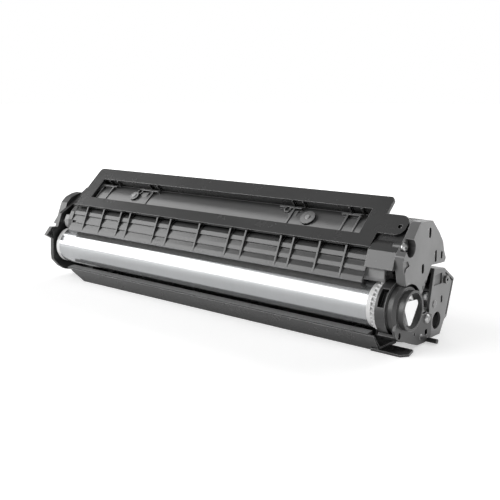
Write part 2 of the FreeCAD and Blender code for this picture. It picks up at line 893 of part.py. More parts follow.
def make_drive_flange(inner):
    """The drive flange is one moulding: plug, ring, helical gear, hub and coupling."""
    body_shape = Part.makeCylinder(inner.number, d.flange_plug_depth.number)
    body_shape.translate(FreeCAD.Vector(0, 0, (half - d.flange_plug_depth).number))
    ring_shape = Part.makeCylinder(d.drum_radius.number, d.drive_ring_width.number,
                                   FreeCAD.Vector(0, 0, half.number))
    hub_shape = Part.makeCylinder(hub_radius.number, d.hub_length.number,
                                  FreeCAD.Vector(0, 0, gear_end.number))
    turned = onto_x_axis(body_shape.fuse([ring_shape, hub_shape]))
    phase = math.radians(d.roller_angle.number)
    gear = gear_shape(int(d.drum_teeth.number), ring_end.number, d.drum_gear_width.number,
                      0, phase, 1)
    shape = turned.fuse([gear, coupling_shape()]).removeSplitter()
    shape_piece("drive_flange", shape)
    return phase


def coupling_points(angle, x):
    """A triangle with rounded corners, turned by an angle about the drum's axis."""
    corner_radius = d.coupling_corner.number
    reach = (hub_radius - d.coupling_inset).number - corner_radius
    facets = int(d.corner_facets.number)
    points = []
    for number in range(3):
        middle = math.radians(angle + 120 * number)
        for facet in range(facets + 1):
            turn = middle + math.radians(120) * (facet / facets - 0.5)
            points.append(FreeCAD.Vector(
                reach * math.cos(middle) + corner_radius * math.cos(turn),
                reach * math.sin(middle) + corner_radius * math.sin(turn), x))
    return points


def coupling_shape():
    """The twisted three-lobed coupling on the end of the hub."""
    start = (hub_end - 1).number
    length = (d.coupling_length + 1).number
    layers = int(d.coupling_layers.number)
    return onto_x_axis(faceted([
        coupling_points(d.coupling_angle.number + d.coupling_turn.number * (layer / layers - 1),
                        start + length * layer / layers)
        for layer in range(layers + 1)]))


def make_charge_roller():
    left = -half - d.charge_shaft_over + d.body_gap * 5
    right = half + d.charge_shaft_over
    shaft = Piece("charge_shaft")
    shaft.turn(charge_axis, [
        (left, 0), (right, 0), (right, d.charge_shaft_radius - 0.5),
        (right - 0.5, d.charge_shaft_radius), (left + 0.5, d.charge_shaft_radius),
        (left, d.charge_shaft_radius - 0.5)])
    rubber = Piece("charge_rubber")
    rubber.turn(charge_axis, ring(
        d.charge_rubber_left - half, half - d.charge_rubber_right, d.charge_rubber_radius,
        d.charge_shaft_radius + d.press_fit))


def make_cleaning_frame():
    """The ribbed front wall, the waste trough behind it and the nest of the charge roller."""
    frame = Piece("cleaning_frame")
    rim_low = under_plate(corner("bay_top")[0])
    rim_high = under_plate(corner("rim_inner")[0])
    shell = [rim_low] + corners(
        "bay_top", "bay_bend", "ridge_high", "ridge_high_back", "bay_waist", "ridge_low",
        "ridge_low_back", "bay_foot", "lip_front", "lip_tip", "lip_back", "nest_front",
        "nest_roof_front", "nest_roof_back", "nest_foot_back", "slot_front", "slot_middle",
        "slot_back", "lobe_back", "lobe_split", "hollow_split", "hollow_back",
        "hollow_low_back", "hollow_middle", "hollow_low_front", "hollow_step",
        "hollow_front_low", "hollow_front", "hollow_front_high") + [
        (corner("ledge")[0], corner("hollow_front_high")[1])] + corners("ledge", "rim_inner") + [
        rim_high]
    frame.prism(frame_left, frame_right, shell)

    end_wall = corners(
        "ledge", "cover_inner_front", "cover_inner_peak", "cover_inner_shoulder", "hollow_split",
        "hollow_back", "hollow_low_back", "hollow_middle", "hollow_low_front", "hollow_step",
        "hollow_front_low", "hollow_front", "hollow_front_high")
    frame.prism(frame_left, frame_left + d.frame_wall, end_wall)
    frame.prism(frame_right - d.frame_wall, frame_right, end_wall)

    for x in rib_places():
        rib = corners("rib_front_top", "rib_back_top", "bay_top", "hollow_front_high",
                      "hollow_front", "nest_front", "lip_back", "lip_tip", "lip_front")
        frame.prism(x - d.rib_thickness / 2, x + d.rib_thickness / 2, rib)

    panel = corners(
        "panel_top", "panel_foot", "panel_back", "nest_roof_front", "nest_roof_back",
        "panel_foot_back", "panel_slot_front", "slot_middle", "slot_back", "lobe_back",
        "lobe_split",
        "cover_shoulder", "cover_peak", "panel_rise", "panel_crest_back", "panel_crest")
    frame.prism(frame_right, frame_end, panel)
    frame.recess(frame_right + d.frame_wall, frame_end, corners(
        "hollow_front_high", "hollow_front", "hollow_front_low", "hollow_step",
        "hollow_low_front", "hollow_middle", "hollow_low_back", "hollow_back", "hollow_split",
        "cover_inner_shoulder", "cover_inner_peak", "cover_inner_front"))

    frame.bore(corner("cap_screw"), frame_end - d.cap_screw_bite, frame_end,
               d.screw_shank_radius)

    block = corners("left_block_front", "left_block_high", "left_block_peak",
                    "left_block_back", "left_block_low")
    frame.prism(left_plate_inner, frame_left, block)
    bracket = corners("bracket_front_high", "bracket_front_bend", "bracket_front_low", "bracket_back_low",
                      "bracket_back_bend", "bracket_roof_front", "bracket_roof_back",
                      "left_block_high", "bracket_crest")
    frame.prism(frame_left - d.bracket_width, frame_left, bracket)
    low = corner("bracket_hole_low")
    high = corner("bracket_hole_high")
    frame.cut(frame.front(low[0], rectangle(
        (frame_left + 0.9, low[1]), (frame_left + 4.3, high[1]))),
        high[0] - low[0], forward=False)


def rib_places():
    """The middle rib, two on each side of it, and four near each end of the frame."""
    insets = (d.rib_inset_one, d.rib_inset_two, d.rib_inset_three, d.rib_inset_four)
    steps = (d.rib_step_one, d.rib_step_two)
    return ([frame_middle] + [frame_middle + side * step for step in steps for side in (-1, 1)]
            + [frame_left + inset for inset in insets]
            + [frame_right - inset for inset in insets])


def plate_point(along, below):
    """A point of the window plate's section: along its slope, and below its top face."""
    front = (d.plate_front_y, d.plate_front_rise + d.drum_radius)
    return (front[0] + along * cosine(d.plate_tilt) + below * sine(d.plate_tilt),
            front[1] + along * sine(d.plate_tilt) - below * cosine(d.plate_tilt))


def under_plate(y):
    """The point of the plate's lower face at a depth Y."""
    start = plate_point(0, d.plate_thickness)
    return (y, start[1] + (y - start[0]) * tangent(d.plate_tilt))


def make_bin_cover():
    cover = Piece("bin_cover")
    inner_arc = d.cover_arc - d.cover_wall
    cover.prism(frame_left, frame_right, [
        (corner("rim_inner")[0] + 0.1, corner("rim_inner")[1]), corner("cover_front"),
        Arc(d.cover_arc, left=False), corner("cover_peak"), corner("cover_shoulder"),
        corner("lobe_split"), corner("hollow_split"), corner("cover_inner_shoulder"),
        corner("cover_inner_peak"), Arc(inner_arc), corner("cover_inner_front"),
        corner("ledge")])
    end_legs = (window_left + d.leg_left_inset_one, window_left + d.leg_left_inset_two,
                window_right - d.web_inset_two, window_right - d.web_inset_one)
    legs = end_legs + (frame_middle - d.leg_step, frame_middle + d.leg_step)
    for x in legs:
        cover.prism(x - d.web_thickness / 2, x + d.web_thickness / 2, cover_rib(
            d.window_start - 1, d.shelf_place))
    shelves = ((window_left, window_left + d.web_inset_two),
               (window_right - d.web_inset_two - 4, window_right - d.web_inset_one),
               (frame_middle - d.web_step_two - 6, frame_middle - d.web_step_one + 2),
               (frame_middle + d.web_step_one - 8, frame_middle + d.web_step_two))
    for start, end in shelves:
        cover.prism(start, end, cover_rib(d.shelf_place, d.shelf_place + d.web_thickness))
    make_sockets(cover)
    for centre, radius in boss_places():
        face = cover.sketch("XY_Plane", slope_plane(d.boss_drop), [Circle(centre, radius)], d.plate_tilt)
        cover.pad(face, d.boss_length, forward=False)
        hole = cover.sketch("XY_Plane", slope_plane(d.boss_drop),
                            [Circle(centre, d.boss_pin_radius + d.press_fit)], d.plate_tilt)
        cover.cut(hole, d.boss_length - d.boss_pin_lift, forward=False)


def cover_rib(start, end):
    """The section of a rib that stands on the bin cover, between two places up the slope."""
    foot = (plate_point(start, d.leg_drop + 5), plate_point(end, d.leg_drop + 5))
    return [plate_point(start, d.leg_drop), foot[0], foot[1], plate_point(end, d.leg_drop)]


def make_window_frame():
    """The sloping plate: drawn in its own plane, X along the drum and up its slope."""
    plate = Piece("window_frame")
    base = (0, d.plate_front_y, d.plate_front_rise + d.drum_radius)
    tongue_right = plate_right + d.tongue_length
    turn = d.tongue_round
    rear = d.plate_corner_round
    outline = [
        (plate_left + 2, 0), (plate_right, 0), (plate_right, d.tongue_start),
        (tongue_right - turn, d.tongue_start),
        Arc(turn), (tongue_right, d.tongue_start + turn), (tongue_right, d.tongue_end - turn),
        Arc(turn), (tongue_right - turn, d.tongue_end), (plate_right, d.tongue_end),
        (plate_right, d.plate_width - rear),
        Arc(rear), (plate_right - rear, d.plate_width), (plate_left + rear, d.plate_width),
        Arc(rear), (plate_left, d.plate_width - rear),
        (plate_left, d.window_start), (plate_left + 1, d.window_start - 1), (plate_left + 1, 3)]
    window = rectangle((window_left, d.window_start), (window_right, window_end))
    hole = Circle((tongue_right - turn + 1.5, (d.tongue_start + d.tongue_end) / 2 - 1),
                  d.tongue_hole_radius)
    plate.pad(plate.sketch("XY_Plane", base, [outline, window, hole], d.plate_tilt),
              d.plate_thickness, forward=False)
    rear_wall = rectangle((window_left - d.window_wall_over, window_end),
                          (window_right + d.window_wall_over, window_end + d.window_wall))
    plate.pad(plate.sketch("XY_Plane", base, [rear_wall], d.plate_tilt),
              d.window_wall_depth, forward=False)
    webs = [window_left + d.web_inset_one, window_left + d.web_inset_two,
            window_right - d.web_inset_two, window_right - d.web_inset_one]
    webs += [frame_middle + side * step
             for step in (d.web_step_one, d.web_step_two) for side in (-1, 1)]
    for x in webs:
        web = rectangle((x - d.web_thickness / 2, window_end - d.web_reach),
                        (x + d.web_thickness / 2, window_end + d.window_wall))
        plate.pad(plate.sketch("XY_Plane", base, [web], d.plate_tilt),
                  d.window_wall_depth - d.web_lift, forward=False)


def boss_places():
    """The bosses of the bin cover: their places along X and up the slope, and their radii."""
    return (((-d.boss_left_x, d.boss_slope_place), d.boss_left_radius),
            ((d.boss_right_x, d.boss_slope_place), d.boss_right_radius))


def slope_plane(below):
    """The shift of a sketch plane that lies below the window plate's top face."""
    start = plate_point(0, below)
    return (0, start[0], start[1])


def make_sockets(cover):
    """Hexagonal sockets on the bin cover, each with a block on its right."""
    for x in (-d.socket_left_x, d.socket_right_x):
        centre = (x, d.socket_place)
        hexagon = [polar(d.socket_radius, 360 * number / 6, centre) for number in range(6)]
        top = slope_plane(d.leg_drop)
        cover.pad(cover.sketch("XY_Plane", top, [hexagon], d.plate_tilt),
                  d.socket_height, forward=False)
        cover.cut(cover.sketch("XY_Plane", top, [Circle(centre, d.socket_bore)], d.plate_tilt),
                  d.socket_height / 2, forward=False)
        block = rectangle((x + d.socket_radius - d.block_lap, d.block_start),
                          (x + d.block_reach, d.socket_place))
        cover.pad(cover.sketch("XY_Plane", slope_plane(d.block_drop), [block], d.plate_tilt),
                  d.block_height, forward=False)


def make_window_pins():
    """A steel pin stands in the middle of each boss."""
    pins = Piece("window_pins")
    for centre, radius in boss_places():
        head = pins.sketch("XY_Plane", slope_plane(d.boss_drop - d.boss_pin_lift),
                           [Circle(centre, d.boss_pin_radius)], d.plate_tilt)
        pins.pad(head, d.boss_length, forward=False)


def make_wiper():
    frame_foot = corner("lip_back")
    tip_inner = polar(d.drum_radius + d.wiper_gap, d.wiper_angle)
    tip_outer = polar(d.drum_radius + d.wiper_gap, d.wiper_angle + 3)
    bracket = Piece("wiper_bracket")
    start = shifted(frame_foot, 0.15, 0.1)
    bracket.prism(frame_left + 2, frame_right - 4, [
        start, shifted(start, 0.75, -0.35), shifted(start, 1.95, 2.3), shifted(start, 1.2, 2.65)])
    blade = Piece("wiper_blade")
    blade.prism(frame_left + 2, frame_right - 4, [
        shifted(start, 0, -0.05), tip_outer, tip_inner, shifted(start, 0.75, -0.4)])


def make_charge_bearings():
    """The two bushes that carry the charge roller's shaft, and the springs behind them."""
    bore = d.charge_shaft_radius + d.running_fit
    right_start = half - 6
    left_start = -half + 2
    bushes = Piece("charge_bushes")
    for start in (left_start, right_start):
        end = start + d.charge_bush_length
        half_width = d.charge_bush_radius
        outline = [shifted(charge_axis, y, z) for y, z in (
            (1.2 - half_width, -d.charge_bush_foot), (half_width - 1.2, -d.charge_bush_foot),
            (half_width, -1.5), (half_width, 2.5), (half_width - 1.4, d.charge_bush_head),
            (1.4 - half_width, d.charge_bush_head), (-half_width, 2.5), (-half_width, -1.5))]
        bushes.prism(start, end, outline)
        bushes.bore(charge_axis, start, end, bore)


def make_drive_end_cap():
    cap = Piece("drive_end_cap")
    clear = step_radius + d.cap_clear
    outline = corners(
        "cap_crest_front", "cap_crest_back", "cap_shoulder", "cap_back_high", "cap_back",
        "cap_lug_top", "cap_lug_foot", "cap_foot_back", "cap_foot_middle", "cap_foot_front") + [
        polar(clear, 24), Arc(clear), polar(clear, 105)] + corners(
        "cap_front_low", "cap_front", "cap_front_high")
    cap.prism(frame_end, cap_face, outline)
    screw = corner("cap_screw")
    cap.round_edges(d.cap_round, corners(
        "cap_crest_front", "cap_crest_back", "cap_shoulder", "cap_back_high", "cap_lug_top",
        "cap_front_high", "cap_front"))
    cap.recess(cap_face - d.cap_screw_sink, cap_face, Circle(screw, d.cap_screw_pocket))
    cap.bore(screw, frame_end, cap_face, d.screw_shank_radius)
    slots = (("cap_slot", 1.0, 3.2), ("cap_slot_back", 1.0, 2.1), ("cap_slot_low", 1.3, 2.6),
             ("cap_hole_top", 1.1, 2.7), ("cap_slot_small", 0.35, 1.1), ("cap_slot_foot", 0.45, 1.3))
    for name, half_width, half_height in slots:
        cap.recess(cap_face - d.cap_slot_depth, cap_face,
                   slot(corner(name), half_width, half_height))
    cap.recess(cap_face - d.cap_step, cap_face, corners(
        "step_outer_top", "step_top", "step_crest", "step_high", "step_side", "step_side_low",
        "step_foot", "step_outer_foot"))


def make_drum_bearing():
    """The bearing of the drum's hub: shell, step, lobe plate and collar in one moulding."""
    bearing = Piece("drum_bearing")
    bearing.turn((0, 0), [
        (bearing_start, shell_bore), (gear_end + d.body_gap, shell_bore),
        (gear_end + d.body_gap, hub_bore), (collar_end, hub_bore), (collar_end, collar_radius),
        (bearing_plate_end, collar_radius), (bearing_plate_end, collar_root_radius),
        (bearing_plate_start, step_radius), (shell_end, step_radius),
        (shell_end, shell_radius), (bearing_start, shell_radius)])
    neck = polar(collar_root_radius, 0)
    plate = corners(
        "foot_front", "foot_front_low", "foot_low_one", "foot_low_two", "foot_low_three",
        "lobe_front", "lobe_foot_front", "lobe_foot", "lobe_foot_back", "lobe_top_back",
        "lobe_top", "lobe_neck") + [
        neck, Arc(collar_root_radius), polar(collar_root_radius, 120),
        Arc(collar_root_radius), polar(collar_root_radius, 205)]
    bearing.prism(bearing_plate_start, bearing_plate_end, plate)
    bearing.recess(bearing_plate_start, bearing_plate_end, Circle((0, 0), hub_bore))
    bearing.prism(bearing_start, bearing_plate_start, corners(
        "foot_front_low", "foot_low_one", "foot_low_two") + [
        (corner("block_back")[0], corner("foot_low_two")[1])] + corners("block_back") + [
        polar(shell_bore + 0.6, 290), polar(shell_bore + 0.6, 250)] + corners("block_front"))
    bearing.bore(hinge_axis, bearing_plate_start, bearing_plate_end,
                 d.hinge_pin_radius + d.running_fit)
    bearing.bore(corner("lobe_screw"), bearing_plate_start, bearing_plate_end,
                 d.screw_shank_radius)
    bearing.recess(bearing_start + d.shell_notch_start, shell_end - 0.4, [
        polar(shell_radius + 1, 128), polar(shell_radius + 1, 168),
        polar(shell_radius - d.shell_notch_depth, 168),
        polar(shell_radius - d.shell_notch_depth, 128)])
    for name, half_width, half_height in (("foot_socket", 1.3, 1.8), ("foot_notch", 0.5, 0.9)):
        bearing.recess(bearing_plate_end - 1.1, bearing_plate_end,
                       slot(corner(name), half_width, half_height))
    square = corner("lobe_square")
    bearing.recess(bearing_plate_start, bearing_plate_end, rectangle(
        shifted(square, -1.5, -1.5), shifted(square, 1.5, 1.5)))
    bearing.prism(bearing_plate_start, stop_pin_end, Circle(
        corner("lobe_stop_pin"), d.stop_pin_radius))


def make_left_end():
    """The left end plate with its pointed tab, and the end cap with its guard band."""
    plate = Piece("left_side_plate")
    outline = corners(
        "tab_tip", "tab_foot", "side_front", "side_low", "side_low_bend", "side_foot",
        "lobe_front", "lobe_foot_front", "side_lobe_back", "side_lobe_high", "side_waist",
        "left_block_low", "left_block_back", "left_block_peak", "left_block_high",
        "nest_roof_front", "tab_back", "tab_top")
    plate.prism(left_plate_outer, left_plate_inner, outline)
    plate.recess(left_plate_inner - d.tab_hollow_depth, left_plate_inner, corners(
        "tab_hollow_front", "tab_hollow_top", "tab_hollow_foot"))
    plate.bore((0, 0), left_plate_outer, left_plate_inner, d.drum_pin_radius + d.press_fit)
    plate.bore(hinge_axis, left_plate_outer, left_plate_inner,
               d.hinge_pin_radius + d.running_fit)

    cap = Piece("left_end_cap")
    cap.prism(left_cap_outer, left_plate_outer, corners(
        "left_face_top", "left_band_one", "left_band_two", "left_band_three", "left_band_end",
        "left_cap_back", "left_cap_low_back", "left_cap_low", "left_face_foot",
        "left_face_bend"))
    cap.recess(left_cap_outer, left_plate_outer, corners(
        "left_gap_front", "left_gap_low", "left_gap_back", "left_gap_top"))

    pin = Piece("drum_pin")
    pin_end = d.drum_pin_reach - half
    pin.turn((0, 0), [
        (left_plate_outer, 0), (pin_end, 0), (pin_end, d.drum_pin_radius - 0.6),
        (pin_end - 0.6, d.drum_pin_radius), (left_plate_outer, d.drum_pin_radius)])


def make_hopper():
    """The toner hopper, with the nest of the developer roller in front of its chamber."""
    hopper = Piece("toner_hopper")
    slope = (cosine(d.slope_angle), sine(d.slope_angle))

    def on_slope(along, height):
        return (roller_axis[0] + slope[0] * along - slope[1] * height,
                roller_axis[1] + slope[1] * along + slope[0] * height)

    nest = d.nest_radius
    outer = nest + d.nest_wall
    brow = polar(nest, 126, roller_axis)
    nest_outline = [
        on_slope(-1, d.slope_height), brow, Arc(nest, left=False), polar(nest, 30, roller_axis),
        Arc(nest, left=False), polar(nest, -60, roller_axis), Arc(nest, left=False),
        polar(nest, -145, roller_axis), polar(outer, -145, roller_axis), Arc(outer),
        polar(outer, -90, roller_axis)]
    low_front = (corner("chamber_front_foot")[0], corner("chamber_neck")[1] - 3)
    body = nest_outline + [low_front] + corners("chamber_front_foot") + [
        (corner("hopper_foot_front")[0], corner("chamber_front_foot")[1])] + corners(
        "hopper_foot_front", "hopper_foot_back", "hopper_back_low", "hopper_back",
        "lid_inner_back", "lid_inner_top", "lid_inner_front") + [
        on_slope(17.8, d.slope_height)]
    hopper.prism(hopper_left, hopper_right, body)
    hopper.recess(hopper_left + d.hopper_end_wall, hopper_right - d.hopper_end_wall, corners(
        "chamber_front", "chamber_neck", "chamber_foot_front", "chamber_foot_back",
        "chamber_back_low", "chamber_back") + [
        (corner("chamber_back")[0], corner("hopper_top_back")[1] + 3),
        (corner("chamber_front")[0], corner("hopper_top")[1] + 3)])
    neck = polar(nest, 0, roller_axis)
    hopper.recess(hopper_left + d.neck_inset, hopper_right - d.neck_inset, rectangle(
        shifted(neck, -0.6, -3), shifted(neck, 6, 4)))
    ends = [(hopper_left, hopper_left + d.hopper_end_wall),
            (hopper_right - d.hopper_end_wall, hopper_right)]
    drum_clear = d.drum_radius + 2 * d.body_gap
    bush = d.roller_shaft_radius + d.running_fit + d.bush_wall + d.press_fit
    for start, end in ends:
        hopper.prism(start, end, [
            brow, polar(drum_clear, 8), Arc(drum_clear, left=False), polar(drum_clear, -28),
            polar(nest, 215, roller_axis), Arc(nest), polar(nest, -60, roller_axis), Arc(nest),
            polar(nest, 30, roller_axis), Arc(nest)])
        hopper.bore(roller_axis, start, end, bush)
    hopper.bore(agitator_axis, hopper_right - d.hopper_end_wall, hopper_right,
                d.agitator_shaft_radius + d.running_fit)
    hopper.prism(hopper_right, gear_cover_face - d.skirt_inset, corners(
        "skirt_rim", "skirt_back", "skirt_bend", "skirt_foot") + [
        (corner("cover_foot_back")[0] + 0.4, corner("skirt_foot")[1])] + [
        shifted(corner("cover_back_bend"), 0.4, -0.4), shifted(corner("cover_back"), 0.4, -0.2),
        shifted(corner("cover_top_back"), 0.4, 0.0)])

    bracket = Piece("doctor_bracket")
    blade_top = d.slope_height + d.press_fit
    nose = -1 - d.press_fit
    bracket.prism(sleeve_left, sleeve_right, [
        on_slope(nose - d.doctor_thickness, blade_top), on_slope(5, blade_top),
        on_slope(5, blade_top + d.doctor_bracket),
        on_slope(nose - d.doctor_thickness, blade_top + d.doctor_bracket)])
    blade = Piece("doctor_blade")
    blade_foot = sleeve_radius + d.body_gap
    blade.prism(sleeve_left, sleeve_right, [
        on_slope(nose, blade_top - d.press_fit), on_slope(nose, blade_foot - 0.05),
        on_slope(nose - d.doctor_thickness, blade_foot - 0.2),
        on_slope(nose - d.doctor_thickness, blade_top - d.press_fit)])

    lid = Piece("hopper_lid")
    lid.prism(hopper_left, hopper_right, corners(
        "hopper_top_front", "lid_inner_front", "lid_inner_top", "lid_inner_back") + [
        corner("hopper_back")] + corners("lid_rim_low", "lid_rim", "hopper_top_back",
        "hopper_top"))

    plug = Piece("fill_plug")
    radius = d.fill_plug_radius
    plug.turn(corner("fill_centre"), [
        (left_cover_outer - 1.2, 0), (left_cover_outer - 1.2, radius + 1),
        (left_cover_outer, radius + 1), (left_cover_outer, radius),
        (left_cover_outer + d.fill_plug_depth, radius),
        (left_cover_outer + d.fill_plug_depth, 0)])


def make_developer_covers():
    cover = Piece("gear_cover")
    outline = corners(
        "cover_top_front", "cover_top", "cover_top_back", "cover_back", "cover_back_bend",
        "cover_foot_back", "cover_foot_front", "cover_hinge_foot", "cover_hinge_top",
        "cover_hinge_back", "cover_gap_low", "cover_gap_high")
    cover.prism(hopper_right, gear_cover_face, outline)
    skin = d.cover_skin
    inner = [
        shifted(corner("cover_top_front"), -8, -skin), shifted(corner("cover_top"), -0.5, -skin),
        shifted(corner("cover_top_back"), -skin - 0.4, -skin + 0.6),
        shifted(corner("cover_back"), -skin, skin), shifted(corner("cover_back_bend"), -skin, skin),
        shifted(corner("cover_foot_back"), -skin, skin + 0.2),
        (corner("cover_foot_front")[0] + skin, corner("cover_foot_back")[1] + skin + 0.2),
        (corner("cover_foot_front")[0] + skin, corner("cover_hinge_top")[1] + 4)]
    cover.recess(hopper_right, gear_cover_face - skin, inner)
    boss_start = gear_cover_face - d.hinge_boss_depth
    cover.bore(hinge_axis, boss_start, gear_cover_face, d.hinge_pin_radius + d.press_fit)
    cover.bore(corner("face_hole"), gear_cover_face - skin, gear_cover_face, d.face_hole_radius)
    cover.recess(gear_cover_face - skin, gear_cover_face, slot(corner("face_slot"), 1.0, 2.1))
    cover.recess(gear_cover_face - d.cover_groove, gear_cover_face, corners(
        "groove_top", "groove_corner", "groove_foot", "groove_foot_inner",
        "groove_corner_inner", "groove_top_inner"))
    cover.recess(gear_cover_face - d.cover_groove, gear_cover_face, rectangle(
        corner("face_window_low"), corner("face_window_high")))
    cover.prism(gear_cover_face - skin, gear_cover_face + d.face_pin_rise,
                Circle(corner("face_pin"), d.face_pin_radius))
    cover.prism(gear_cover_face - skin, gear_cover_face + d.face_boss_rise,
                Circle(corner("face_boss"), d.face_boss_radius))
    cover.bore(corner("face_boss"), gear_cover_face, gear_cover_face + d.face_boss_rise,
               d.face_boss_bore)

    left = Piece("left_developer_cover")
    side = corners("hopper_top_front", "core_brow", "core_nose") + [
        corner("cover_hinge_top"), corner("cover_hinge_foot")] + corners(
        "hopper_foot_front", "hopper_foot_back", "hopper_back_low", "hopper_back",
        "hopper_top_back", "hopper_top")
    left.prism(left_cover_outer, hopper_left, side)
    left.bore(roller_axis, left_cover_outer + 2, hopper_left, d.core_shaft_radius + d.press_fit)
    left.bore(hinge_axis, left_cover_outer, left_cover_outer + d.hinge_boss_depth,
              d.hinge_pin_radius + d.press_fit)
    left.bore(corner("fill_centre"), left_cover_outer, hopper_left,
              d.fill_plug_radius + d.press_fit)

    pins = Piece("hinge_pins")
    pins.turn(hinge_axis, rectangle((boss_start, 0), (bearing_plate_end + 0.2, d.hinge_pin_radius)),
              rectangle((left_plate_outer - 0.2, 0),
                        (left_cover_outer + d.hinge_boss_depth, d.hinge_pin_radius)))


def make_lower_guard():
    """The apron under the drum: floor, upturned front with its lip, and the right tab."""
    guard = Piece("lower_guard")
    top = floor_level + d.guard_thickness
    left = d.guard_left_inset - half
    right = half + d.guard_right_over
    floor_end = corner("hopper_foot_front")[0]
    lip = corner("guard_lip")
    guard.prism(left, right, [
        corner("guard_lip_back"), lip, (corner("guard_bend")[0], floor_level),
        (floor_end, floor_level), (floor_end, top), (corner("guard_bend_back")[0], top)])
    guard.cut(guard.plan(floor_level, rectangle(
        (hopper_right - 0.2, corner("cover_hinge_foot")[0] - 1.2), (right + 1, floor_end + 1))),
        d.guard_thickness + 1)
    guard.cut(guard.front(lip[0] - 1, [
        (left - 1, floor_level - 1), (left + d.guard_chamfer, floor_level - 1),
        (left - 1, floor_level + d.guard_chamfer)]), floor_end - lip[0] + 2, forward=False)
    tab_end = half + d.guard_tab_end
    guard.pad(guard.plan(floor_level, [
        (right - 4, -8), (tab_end - 3, -8), (tab_end, -4), (tab_end - 2, 4), (right - 4, 4)]), 1.2)

    seal = Piece("guard_seal")
    back = corner("guard_lip_back")
    bend = (corner("guard_bend_back")[0], top)
    seal.prism(left + 10, hopper_right, [
        shifted(back, 0.05, 0), bend, shifted(bend, d.seal_thickness, 0.4),
        shifted(back, d.seal_thickness, 0.3)])


def make_developer_roller(drum_phase):
    inner = sleeve_radius - d.sleeve_wall
    sleeve = Piece("roller_sleeve")
    core_bore = d.core_shaft_radius + d.running_fit
    sleeve.turn(roller_axis, [
        (sleeve_left, core_bore), (sleeve_left + 3, core_bore), (sleeve_left + 3, inner),
        (sleeve_right, inner), (sleeve_right, sleeve_radius), (sleeve_left, sleeve_radius)])
    spacers = Piece("spacer_rings")
    spacer = sleeve_radius + d.spacer_over
    spacers.turn(
        roller_axis,
        ring(sleeve_left - d.spacer_width + 2.2, sleeve_left, spacer, core_bore + 1),
        ring(sleeve_right, sleeve_right + d.spacer_width - 2.2, spacer, d.roller_shaft_radius + 0.1))

    core = Piece("magnet_core")
    core_end = sleeve_right - 5
    core_radius = inner - d.core_gap
    core.turn(roller_axis, [
        (left_cover_outer + 2, 0), (core_end, 0), (core_end, core_radius),
        (sleeve_left + 4, core_radius), (sleeve_left + 4, d.core_shaft_radius),
        (left_cover_outer + 2, d.core_shaft_radius)])

    phase = meshed_phase(d.drum_teeth.number, drum_phase, d.roller_angle.number,
                         d.roller_teeth.number)
    gear = gear_shape(int(d.roller_teeth.number), gear_start.number, d.roller_gear_width.number,
                      0, phase, -1)
    shaft = Part.makeCylinder(
        d.roller_shaft_radius.number, (roller_gear_end + 3 - sleeve_right + 4).number,
        FreeCAD.Vector(0, 0, (sleeve_right - 4).number))
    plug = Part.makeCylinder(
        (inner - d.press_fit).number, 4, FreeCAD.Vector(0, 0, (sleeve_right - 4).number))
    shape = gear.fuse([onto_x_axis(shaft.fuse(plug))])
    shape_piece("roller_gear", moved(shape, roller_axis))

    bushes = Piece("roller_bushes")
    bore = d.roller_shaft_radius + d.running_fit
    bushes.turn(
        roller_axis,
        ring(hopper_right - d.hopper_end_wall, hopper_right, bore + d.bush_wall, bore),
        ring(hopper_left, hopper_left + d.hopper_end_wall, bore + d.bush_wall,
             d.core_shaft_radius + d.press_fit))
    return phase


def make_gear_train(roller_phase):
    idler_phase = meshed_phase(d.roller_teeth.number, roller_phase, d.idler_angle.number,
                               d.idler_teeth.number)
    bore = (d.idler_post_radius + d.running_fit).number
    shape = gear_shape(int(d.idler_teeth.number), gear_start.number, d.roller_gear_width.number,
                       bore, idler_phase, 1)
    shape_piece("idler_gear", moved(shape, idler_axis))
    post = Piece("idler_post")
    post.turn(idler_axis, [
        (hopper_right, 0), (gear_cover_face - d.cover_skin, 0),
        (gear_cover_face - d.cover_skin, d.idler_post_radius),
        (gear_start - 0.3, d.idler_post_radius), (gear_start - 0.3, d.idler_post_radius + 1.5),
        (hopper_right, d.idler_post_radius + 1.5)])

    phase = meshed_phase(d.idler_teeth.number, idler_phase, d.agitator_angle.number,
                         d.agitator_teeth.number)
    shape = gear_shape(int(d.agitator_teeth.number), gear_start.number,
                       d.roller_gear_width.number,
                       (d.agitator_shaft_radius + d.press_fit).number, phase, -1)
    shape_piece("agitator_gear", moved(shape, agitator_axis))
    shaft = Piece("agitator_shaft")
    start = hopper_left + d.hopper_end_wall + 0.3
    shaft.turn(agitator_axis, rectangle((start, 0), (roller_gear_end + 1, d.agitator_shaft_radius)))
    film = Piece("agitator_film")
    y, z = agitator_axis
    film.prism(start + 4, hopper_right - d.hopper_end_wall - 4, rectangle(
        (y + d.agitator_shaft_radius, z - d.agitator_film_thickness / 2),
        (y + d.agitator_film_reach, z + d.agitator_film_thickness / 2)))


def make_screws():
    """Steel screws, each a shank and a head, grouped by what they fasten."""
    groups = {
        "cap_screws": [(cap_face - d.cap_screw_sink, corner("cap_screw"), d.cap_screw_bite)],
        "bearing_screws": [(bearing_plate_end, corner("lobe_screw"), 1.4)],
    }
    for label, screws in groups.items():
        piece = Piece(label)
        for seat, axis, reach in screws:
            piece.turn(axis, [
                (seat - reach, 0), (seat + d.screw_head, 0),
                (seat + d.screw_head, d.cap_screw_radius - 0.5),
                (seat + d.screw_head - 0.5, d.cap_screw_radius), (seat, d.cap_screw_radius),
                (seat, d.screw_shank_radius - d.press_fit),
                (seat - reach, d.screw_shank_radius - d.press_fit)])


